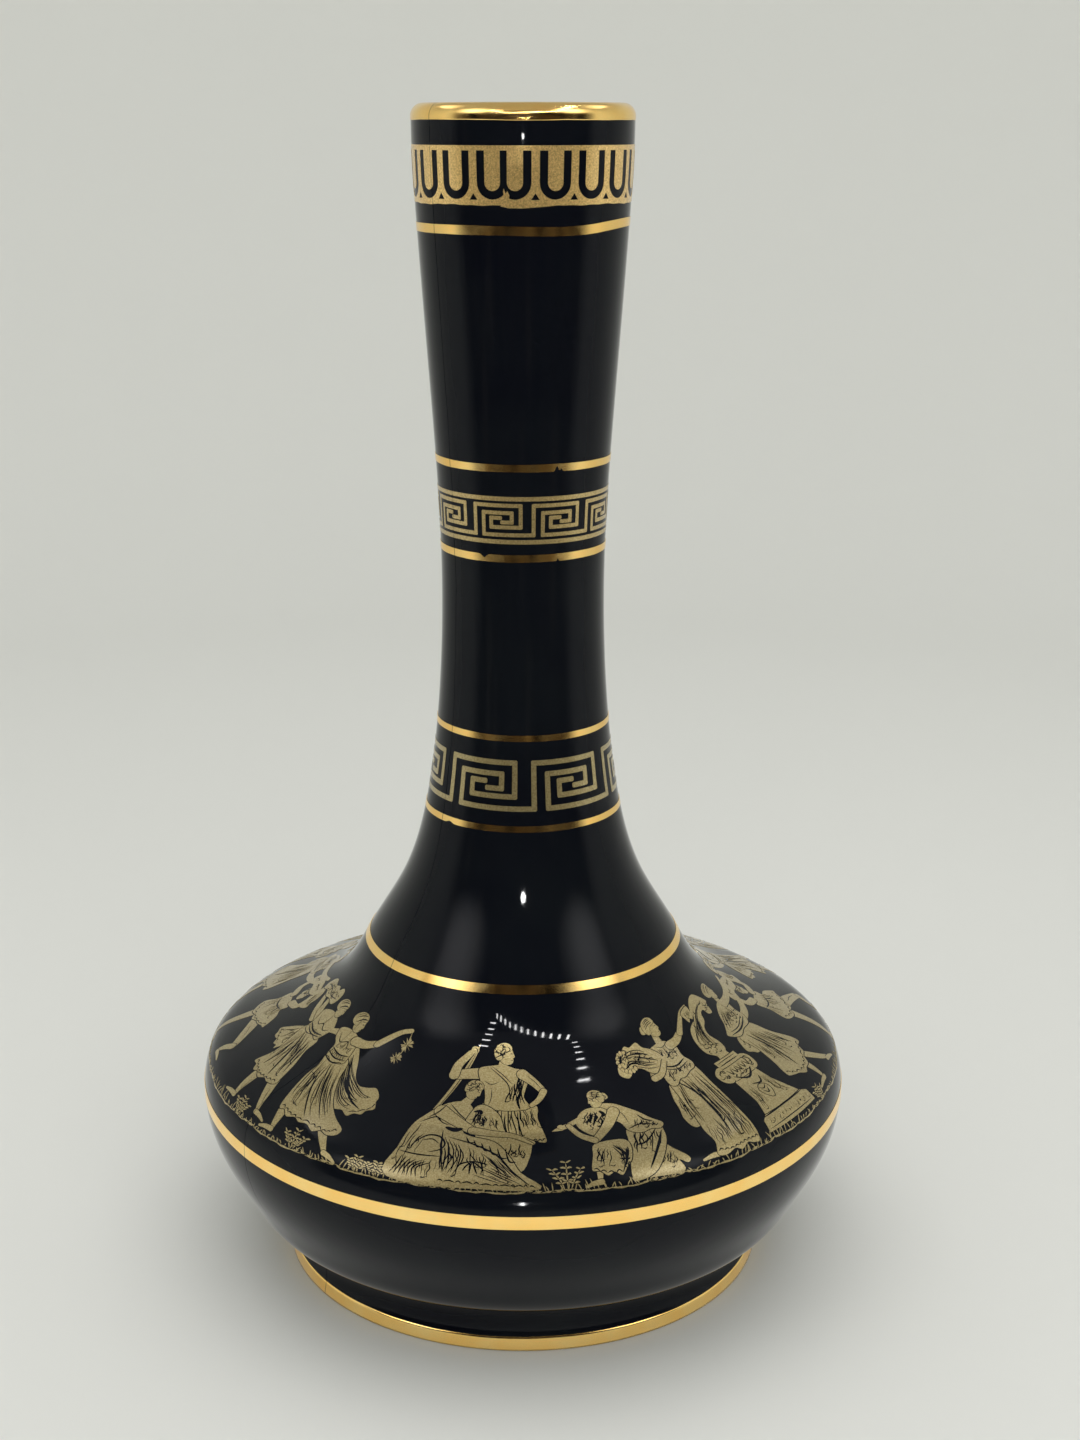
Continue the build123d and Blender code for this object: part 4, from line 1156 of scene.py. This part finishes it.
def altar():
    """A round altar with volutes, a swag and a plinth, and smoke that curls to the right."""
    f = Figure("altar", 7)
    f.area([(52.6, 16.6), (52.8, 18.2), (51, 19.6), (50.8, 21.4), (51.6, 23.4), (53.4, 25), (56, 25.8),
            (58, 26.2), (59.4, 28), (62, 29.4), (65, 29.9), (67.6, 29), (69.8, 27.2), (68.6, 26.6),
            (67.4, 25), (65.4, 25.2), (64.8, 26.4), (62.6, 26.2), (61, 24.8), (58.6, 23.9), (57.4, 22.4),
            (58, 20.4), (57.6, 18.8), (56.6, 18), (56.8, 16.6)], 0)
    f.pleats([(52.6, 19), (52.2, 22.4), (55.4, 24.8), (60, 27.4), (65.6, 29)],
             [(56.4, 18.4), (56.8, 21.4), (57.4, 23.8), (62, 26.6), (68, 27.6)], 13, 0.26)
    f.curls(54.4, 20.2, 2.4, 1.7, 15)
    f.curls(67, 26.4, 1.6, 0.9, 7)
    f.area([(49.6, 12.4), (57.8, 12.4), (58, 9), (59.2, 6), (60.4, 3.8), (48, 3.8), (49.2, 7)], 0.15, False)
    f.area([(46.6, 1), (62.4, 1), (62, 3.2), (60.4, 4), (48, 4), (46.8, 3.2)], 0.15, False)
    f.line([(46.8, 3.7), (54, 4.0), (61.2, 3.8)], 0.3)
    f.line([(47, 1.5), (54, 1.7), (62, 1.5)], 0.16)
    f.pleats([(48, 3.2), (47.6, 1.8)], [(61, 3.2), (61.4, 1.8)], 12, 0.15)
    for x in (49.2, 58.4):
        f.area([(x - 2.2, 15), (x, 16.2), (x + 2, 15.2), (x + 1.6, 13), (x, 12.2), (x - 1.8, 13)])
        f.line([(x - 1.3, 14.6), (x, 15.3), (x + 1.1, 14.4), (x + 0.2, 13.3), (x - 0.7, 14)], 0.24)
        f.curls(x, 14.2, 1.3, 1.2, 5)
    f.area([(50, 15.4), (58, 15.4), (57.6, 12.2), (50.2, 12.2)], 0.15, False)
    f.area([(50, 15.5), (58.2, 15.5), (58.4, 17.3), (49.8, 17.3)], 0.15, False)
    f.line([(50.2, 16.1), (54, 16.2), (58, 16.1)], 0.2)
    f.line([(50.2, 16.8), (54, 16.9), (58, 16.8)], 0.13)
    for k in range(5):
        x = 50.6 + 1.6 * k
        f.line([(x, 15), (x + 0.8, 13.6), (x + 1.4, 15)], 0.26)
    f.line([(50.6, 13.2), (54, 11.6), (57.4, 13.2)], 0.4)
    f.curls(54, 13, 3.2, 0.9, 12)
    f.line([(52.6, 10.2), (55, 9.6), (56.4, 11)], 0.34)
    f.area([(53.9, 9.4), (55.3, 8.6), (55.1, 7.2), (53.9, 6), (52.7, 7.2), (52.5, 8.6)])
    f.line([(53, 8.2), (53.9, 7.2), (54.8, 8.2)], 0.24)
    f.line([(52.8, 8.9), (53.9, 8.3), (55, 8.9)], 0.2)
    f.pleats([(50.2, 11.4), (49.8, 7), (48.8, 4.4)], [(52, 11.2), (51.6, 7), (51.2, 4.4)], 6, 0.17)
    f.pleats([(56, 11.4), (56.4, 7), (57, 4.4)], [(57.6, 11.2), (58, 7), (59.6, 4.4)], 6, 0.17)
    return f


def pouring_figure():
    """A draped woman walking towards the right, who holds out both arms."""
    f = Figure("pouring_figure", 8)
    f.limb([(69.6, 6), (70, 2.6)], [1.8, 0.9])
    f.foot((70.4, 1.8), (67, 1.2))
    f.limb([(73, 6.6), (75.6, 4), (77.4, 2.8)], [1.8, 1.3, 0.8])
    f.foot((77, 2.5), (80, 1.6))
    f.area([(66.6, 18.8), (64, 18.4), (62.4, 16.8), (61.8, 15.4), (63, 14.6), (63.8, 13.9), (65.6, 14),
            (68, 16.4)])
    f.pleats([(65.8, 18.4), (62.8, 15.6)], [(67.4, 17.4), (65, 14.4)], 7)
    f.area([(65.2, 18.4), (73.6, 18.6), (75.4, 14), (77.2, 10.4), (77, 8.6), (75, 8.4), (73.8, 7.2),
            (72, 6.8), (70.4, 5.6), (68.4, 5.4), (67, 4.9), (65.2, 5.9), (63.6, 6.4), (62.2, 7.4),
            (63.8, 11), (65, 14.6)])
    f.pleats([(66, 18), (65.2, 12), (63.4, 8)], [(69.6, 18), (69.6, 12), (69, 6.4)], 10)
    f.pleats([(69, 18), (69.4, 12), (69, 6.4)], [(73.2, 17.6), (75, 12.4), (76, 9.4)], 11, 0.26)
    f.line([(68, 17.6), (68.8, 12.4), (67.6, 6.6)], 0.42)
    f.hem([(62.8, 7.6), (66, 5.8), (69.4, 5.8), (73, 7.4), (76.6, 9)], 10)
    f.limb([(72.6, 19.6), (79, 19.8), (84.4, 21.4), (89, 23.6)], [1.9, 1.6, 1.3, 0.9])
    f.area([(72.6, 25), (76.4, 25), (77.6, 23.4), (76.6, 21.4), (76.4, 19.6), (74, 18.4), (70, 18.6),
            (66, 18.2), (62.6, 19.8), (64, 20.8), (66, 21.8), (67.6, 23), (69.4, 24)])
    f.line([(64, 19.4), (69.4, 19), (76, 19.8)], 0.3)
    f.line([(64.6, 20), (69.4, 19.6), (75.6, 20.4)], 0.18)
    f.pleats([(71, 24.2), (67, 22), (64, 20.2)], [(76, 23.4), (75.4, 21.6), (74, 20)], 14)
    f.curls(72.4, 21.6, 4.6, 1.6, 14)
    f.limb([(75.6, 24), (80.4, 23.8), (85.4, 24.2), (91, 25.8)], [1.8, 1.5, 1.2, 0.8])
    f.limb([(75.6, 26.2), (75.2, 24.8)], [1.2, 1.4], 0.0)
    f.head(75.8, 27.2, 3.7, 1, -8, "cap")
    return f


def plant(f, x, spread, height):
    """A leafy tuft: pairs of small leaves along a few stalks."""
    for stalk in range(3):
        lean = (stalk - 1) * spread / 2
        tall = height * (1.0 if stalk == 1 else 0.72)
        f.line([(x + lean * 0.2, -0.1), (x + lean * 0.5, tall * 0.5), (x + lean, tall)], 0.2, gold=True)
        for k in range(4):
            t = 0.3 + 0.7 * k / 3
            u, v = x + lean * (0.2 + 0.8 * t), tall * t
            for side in (-1, 1):
                tip = u + side * f.rng.uniform(0.7, 1.1)
                leaf = [(u, v), (u + side * 0.5, v + 0.34), (tip, v + f.rng.uniform(0.1, 0.5)),
                        (u + side * 0.4, v)]
                f.area(leaf, 0.1)


def ground_and_plants():
    """The uneven ground line, with grass and the tufts between the figures."""
    start, span, blades = -97, 180, 230
    f = Figure("ground", 9)
    x = np.linspace(start, start + span, 200)
    ripple = 0.16 * np.sin(x * 0.31) + 0.1 * np.sin(x * 0.93 + 1) + 0.05 * np.sin(x * 2.7)
    top = list(zip(x, -0.1 + ripple))
    bottom = list(zip(x, -0.4 + 0.8 * ripple + 0.07 * np.sin(x * 1.9)))
    f.lay(f.flat(bottom + top[::-1]))
    for k in range(blades):
        at = start + span * (k + f.rng.random()) / blades
        lean = f.rng.uniform(-0.8, 0.8)
        tall = f.rng.uniform(0.3, 1.1) * (1 + 0.5 * math.sin(0.17 * at))
        if 61 < at < 71:
            tall *= 0.4             # full blades there happen to look like letters
        f.line([(at, -0.2), (at + lean * 0.4, tall * 0.4), (at + lean, tall)], 0.15, gold=True, steps=2)
        if k % 2:
            f.line([(at + 0.2, -0.32), (at + 0.7, -0.1), (at + 1.3, -0.2)], 0.2, steps=2)
    for at, spread, height in ((-58.5, 3.4, 2.8), (-42, 4.4, 3.0), (-28.4, 3.0, 2.2),
                               (-24.5, 3.6, 2.0), (7.2, 4.8, 4.6), (65, 2.6, 2.2)):
        plant(f, at, spread, height)
    return f


def print_on_shoulder(f, *replaced):
    """The figure's gold, laid on the shoulder at the front and again at the back."""
    flat, faces = f.triangles(1.6)
    arc = outline.arc_of(GROUND_HEIGHT) + flat[:, 1] * MM
    for side, turn in (("front", 0), ("back", math.pi)):
        angle = np.radians(flat[:, 0] / DEGREE) + turn
        solid_film(f.name + "_" + side, angle, arc, faces, PRINT, materials["printed_gold"], replaced)


for draw in (youth, drum_dancer, garland_dancer, staff_bearer, piper, horn_bearer):
    print_on_shoulder(draw(), draw.__name__ + "_transfer")
print_on_shoulder(altar(), "altar_transfer", "smoke_transfer")
print_on_shoulder(pouring_figure(), "pouring_figure_transfer")
print_on_shoulder(ground_and_plants(), "plants_transfer", "ground_transfer")


# ================================================================ stage, light and camera
EYE = Vector((0.0, -0.3629, 0.20615))


def side_panels(tree, direction):
    """Soft glow of hidden panels in a mirror ray's direction. Its signs are dropped, so all sides match."""
    folded = add_node(tree, "ShaderNodeVectorMath", {0: direction}, operation="ABSOLUTE")
    panel = (0.68, 0.41, 0.61)
    away = add_node(tree, "ShaderNodeVectorMath", {0: folded.outputs[0], 1: panel}, operation="DISTANCE")
    return map_range(tree, away.outputs["Value"], 0.4, 0.05, 3.0, interpolation_type="SMOOTHSTEP")


def stage_material():
    """Pale matt card. Mirror-like surfaces see it darker towards the open front of the light box, where it
    shows a painted reflection of a dim room with glowing side panels; elsewhere a painted glow lifts it.
    """
    s = Surface("stage_card")
    geometry = s.add("ShaderNodeNewGeometry").outputs
    glossy = s.add("ShaderNodeLightPath").outputs["Is Glossy Ray"]
    s.set(Base_Color=(0.78, 0.785, 0.75), Roughness=0.9, Specular_IOR_Level=0.1)
    split = s.add("ShaderNodeSeparateXYZ", {0: geometry["Position"]})
    forward = map_range(s.tree, split.outputs["Y"], 0.5, -0.5)
    front = s.ramp(forward, [(0.66, 0.0), (0.8, 1.0)])
    lift = s.ramp(forward, [(0.2, 0.0), (0.42, 0.06), (0.52, 0.13), (0.62, 0.16)])
    # painted reflection: dim colours of a room with warm patches, seen by mirror rays towards the front
    room = s.ramp(s.noise(0.16, 2, (1, 1, 0.3)), [(0.42, (0.004, 0.004, 0.006)), (0.5, (0.06, 0.045, 0.035)),
                                                 (0.56, (0.015, 0.013, 0.014)), (0.66, (0.2, 0.17, 0.13))])
    panels = side_panels(s.tree, geometry["Incoming"])
    mirrored = s.add("ShaderNodeVectorMath", {0: room, 1: panels}, operation="ADD")
    dark = s.add("ShaderNodeEmission", {"Color": mirrored.outputs[0]})
    # painted glow: mirror rays see the card brighter, growing from its back towards its front
    gleam = s.add("ShaderNodeEmission", {"Strength": combine(s.tree, "MULTIPLY", lift, glossy)})
    card = s.add("ShaderNodeAddShader", {0: s.shader.outputs["BSDF"], 1: gleam.outputs[0]})
    dark_share = combine(s.tree, "MULTIPLY", front, glossy)
    inner_face = s.add("ShaderNodeMixShader", {"Fac": dark_share, 1: card.outputs[0], 2: dark.outputs[0]})
    clear = s.add("ShaderNodeBsdfTransparent")
    both_faces = s.add("ShaderNodeMixShader", {"Fac": geometry["Backfacing"], 1: inner_face.outputs[0],
                                               2: clear.outputs[0]})
    s.tree.links.new(both_faces.outputs[0], s.tree.nodes["Material Output"].inputs["Surface"])
    return s.material


def card_bowl():
    """A seamless round backdrop: flat floor that curves up into a wall."""
    flat, bend, wall_top = 0.5, 0.3, 0.9
    clearance = 0.0002              # keeps the floor just under the foot
    segments = 96
    around = np.arange(segments) * FULL_TURN / segments
    rings = [(0.0, flat * 0.5), (0.0, flat)]
    rings += [(bend * (1 - math.cos(t)), flat + bend * math.sin(t))
              for t in np.linspace(0.08, math.pi / 2, 18)]
    rings += [(wall_top, flat + bend)]
    vertices = [(0, 0, -clearance)]
    for z, r in rings:
        vertices += [(r * math.sin(a), -r * math.cos(a), z - clearance) for a in around]
    faces = []
    for j in range(segments):
        k = (j + 1) % segments
        faces.append((0, 1 + j, 1 + k))
        for i in range(len(rings) - 1):
            low, high = 1 + i * segments, 1 + (i + 1) * segments
            faces.append((low + k, low + j, high + j, high + k))
    bowl = add_mesh("card_bowl", vertices, faces, stage_material())
    make_smooth(bowl.data)


def glow_material(name, zones):
    """Lamp light for mirror images only: its strength depends on the height of the spot that mirrors it."""
    glow = bpy.data.materials.new(name)
    glow.use_nodes = True
    tree = glow.node_tree
    tree.nodes.clear()
    geometry = add_node(tree, "ShaderNodeNewGeometry").outputs
    path = add_node(tree, "ShaderNodeLightPath").outputs
    reach = {0: geometry["Incoming"], 1: path["Ray Length"], 2: geometry["Position"]}
    seen_from = add_node(tree, "ShaderNodeVectorMath", reach, operation="MULTIPLY_ADD")
    height = add_node(tree, "ShaderNodeSeparateXYZ", {0: seen_from.outputs[0]}).outputs["Z"]
    power = 0.0
    for strength, low, high in zones:
        within = combine(tree, "COMPARE", height, (low + high) / 2, (high - low) / 2)
        power = combine(tree, "MULTIPLY_ADD", within, strength, power)
    emission = add_node(tree, "ShaderNodeEmission", {"Strength": power})
    add_node(tree, "ShaderNodeOutputMaterial", {"Surface": emission.outputs[0]})
    return glow


def mirrored_lamp(name, vertices, faces, material):
    """A lamp of flat panels that shows only in reflections."""
    lamp = add_mesh(name, vertices, faces, material)
    lamp.visible_camera = False
    lamp.visible_diffuse = False
    lamp.visible_shadow = False


def lamp_dashes(zones):
    """A bent row of small lamps overhead: an arch of dots on the shoulder, a glitter on the lip."""
    height = 0.40
    left_back, left_front = Vector((-0.112, -0.15)), Vector((-0.165, -0.47))
    right_front, right_back = Vector((0.18, -0.235)), Vector((0.075, 0.08))
    # from, to, lamps, share of the way that they fill, half length and width, turned to the axis or not
    rows = [(left_front, right_front, 12, (0, 1), (0.0042, 0.024), True),
            (left_back, left_front, 5, (0, 0.86), (0.0045, 0.014), False),
            (right_front, right_back, 6, (0.1, 0.88), (0.003, 0.009), False)]
    vertices, faces = [], []
    for start, end, count, (t0, t1), (half_long, half_wide), radial in rows:
        along = (end - start).normalized()
        across = Vector((-along.y, along.x))
        for i in range(count):
            middle = start.lerp(end, t0 + (t1 - t0) * (i + 0.5) / count)
            if radial:
                across = -middle.normalized()
            first = len(vertices)
            for a, b in ((-1, -1), (1, -1), (1, 1), (-1, 1)):
                spot = middle + along * a * half_long + across * b * half_wide
                vertices.append((spot.x, spot.y, height))
            faces.append((first + 3, first + 2, first + 1, first))
    mirrored_lamp("lamp_dashes", vertices, faces, glow_material("dash_glow", zones))


def glint(name, height, width, tall, strength):
    """A small far lamp, set where the front of the pot mirrors it at one height."""
    distance = 0.45
    zone = 4 * MM
    corners = 12
    z, r, out, up = (float(v) for v in outline.at_arc(outline.arc_of(height)))
    spot = Vector((0, -r, z))
    away = (spot - EYE).normalized().reflect(Vector((0, -out, up)))
    middle = spot + away * distance
    level = Vector((1, 0, 0))
    upright = away.cross(level).normalized()
    rim = [middle + level * width * math.cos(t) + upright * tall * math.sin(t)
           for t in np.arange(corners) * FULL_TURN / corners]
    material = glow_material(name, [(strength, height - zone, height + zone)])
    mirrored_lamp(name, rim, [range(corners)], material)


def soft_lamp(name, place, size, power):
    """A square lamp aimed at the foot of the pot. It shows in no reflection."""
    data = bpy.data.lights.new(name, "AREA")
    data.shape = "SQUARE"
    data.size = size
    data.energy = power
    lamp = bpy.data.objects.new(name, data)
    lamp.location = place
    lamp.rotation_euler = (-Vector(place)).to_track_quat("-Z", "Y").to_euler()
    lamp.visible_glossy = False
    lamp.visible_camera = False
    bpy.context.scene.collection.objects.link(lamp)


def surroundings():
    """Soft light from all round; mirror-like surfaces see a ceiling of their own, with the side panels."""
    world = bpy.data.worlds.new("light_box")
    bpy.context.scene.world = world
    world.use_nodes = True
    tree = world.node_tree
    soft = tree.nodes["Background"]
    soft.inputs["Color"].default_value = (0.9, 0.9, 0.9, 1)
    soft.inputs["Strength"].default_value = 0.33
    direction = add_node(tree, "ShaderNodeTexCoord").outputs["Generated"]
    ceiling = combine(tree, "ADD", side_panels(tree, direction), 0.5)
    mirrored = add_node(tree, "ShaderNodeBackground", {"Strength": ceiling})
    glossy = add_node(tree, "ShaderNodeLightPath").outputs["Is Glossy Ray"]
    mix = add_node(tree, "ShaderNodeMixShader", {"Fac": glossy, 1: soft.outputs[0], 2: mirrored.outputs[0]})
    tree.links.new(mix.outputs[0], tree.nodes["World Output"].inputs["Surface"])


def camera():
    """At the photograph's angle: almost level with the lip, looking 16 degrees down."""
    pitch = 16.07
    data = bpy.data.cameras.new("camera")
    data.lens = 52.0
    data.sensor_width = 36.0
    data.shift_x = 17.0 / 1440
    eye = bpy.data.objects.new("camera", data)
    eye.location = EYE
    eye.rotation_euler = (math.radians(90 - pitch), 0, 0)
    bpy.context.scene.collection.objects.link(eye)
    bpy.context.scene.camera = eye


card_bowl()
lamp_dashes([(110.0, 44.5 * MM, 57.5 * MM), (45.0, 207.0 * MM, 209.5 * MM)])
glint("lip_glint", 203.6 * MM, 0.01, 0.0028, 200.0)
glint("flare_glint", 75.2 * MM, 0.018, 0.018, 220.0)
glint("belly_glint", 36.8 * MM, 0.006, 0.02, 220.0)
soft_lamp("top_lamp", (0.0, -0.02, 0.8), 0.95, 3.6)
soft_lamp("front_lamp", (0.1, -0.62, 0.34), 0.6, 1.8)
surroundings()
camera()
bpy.context.scene.view_settings.view_transform = "Standard"
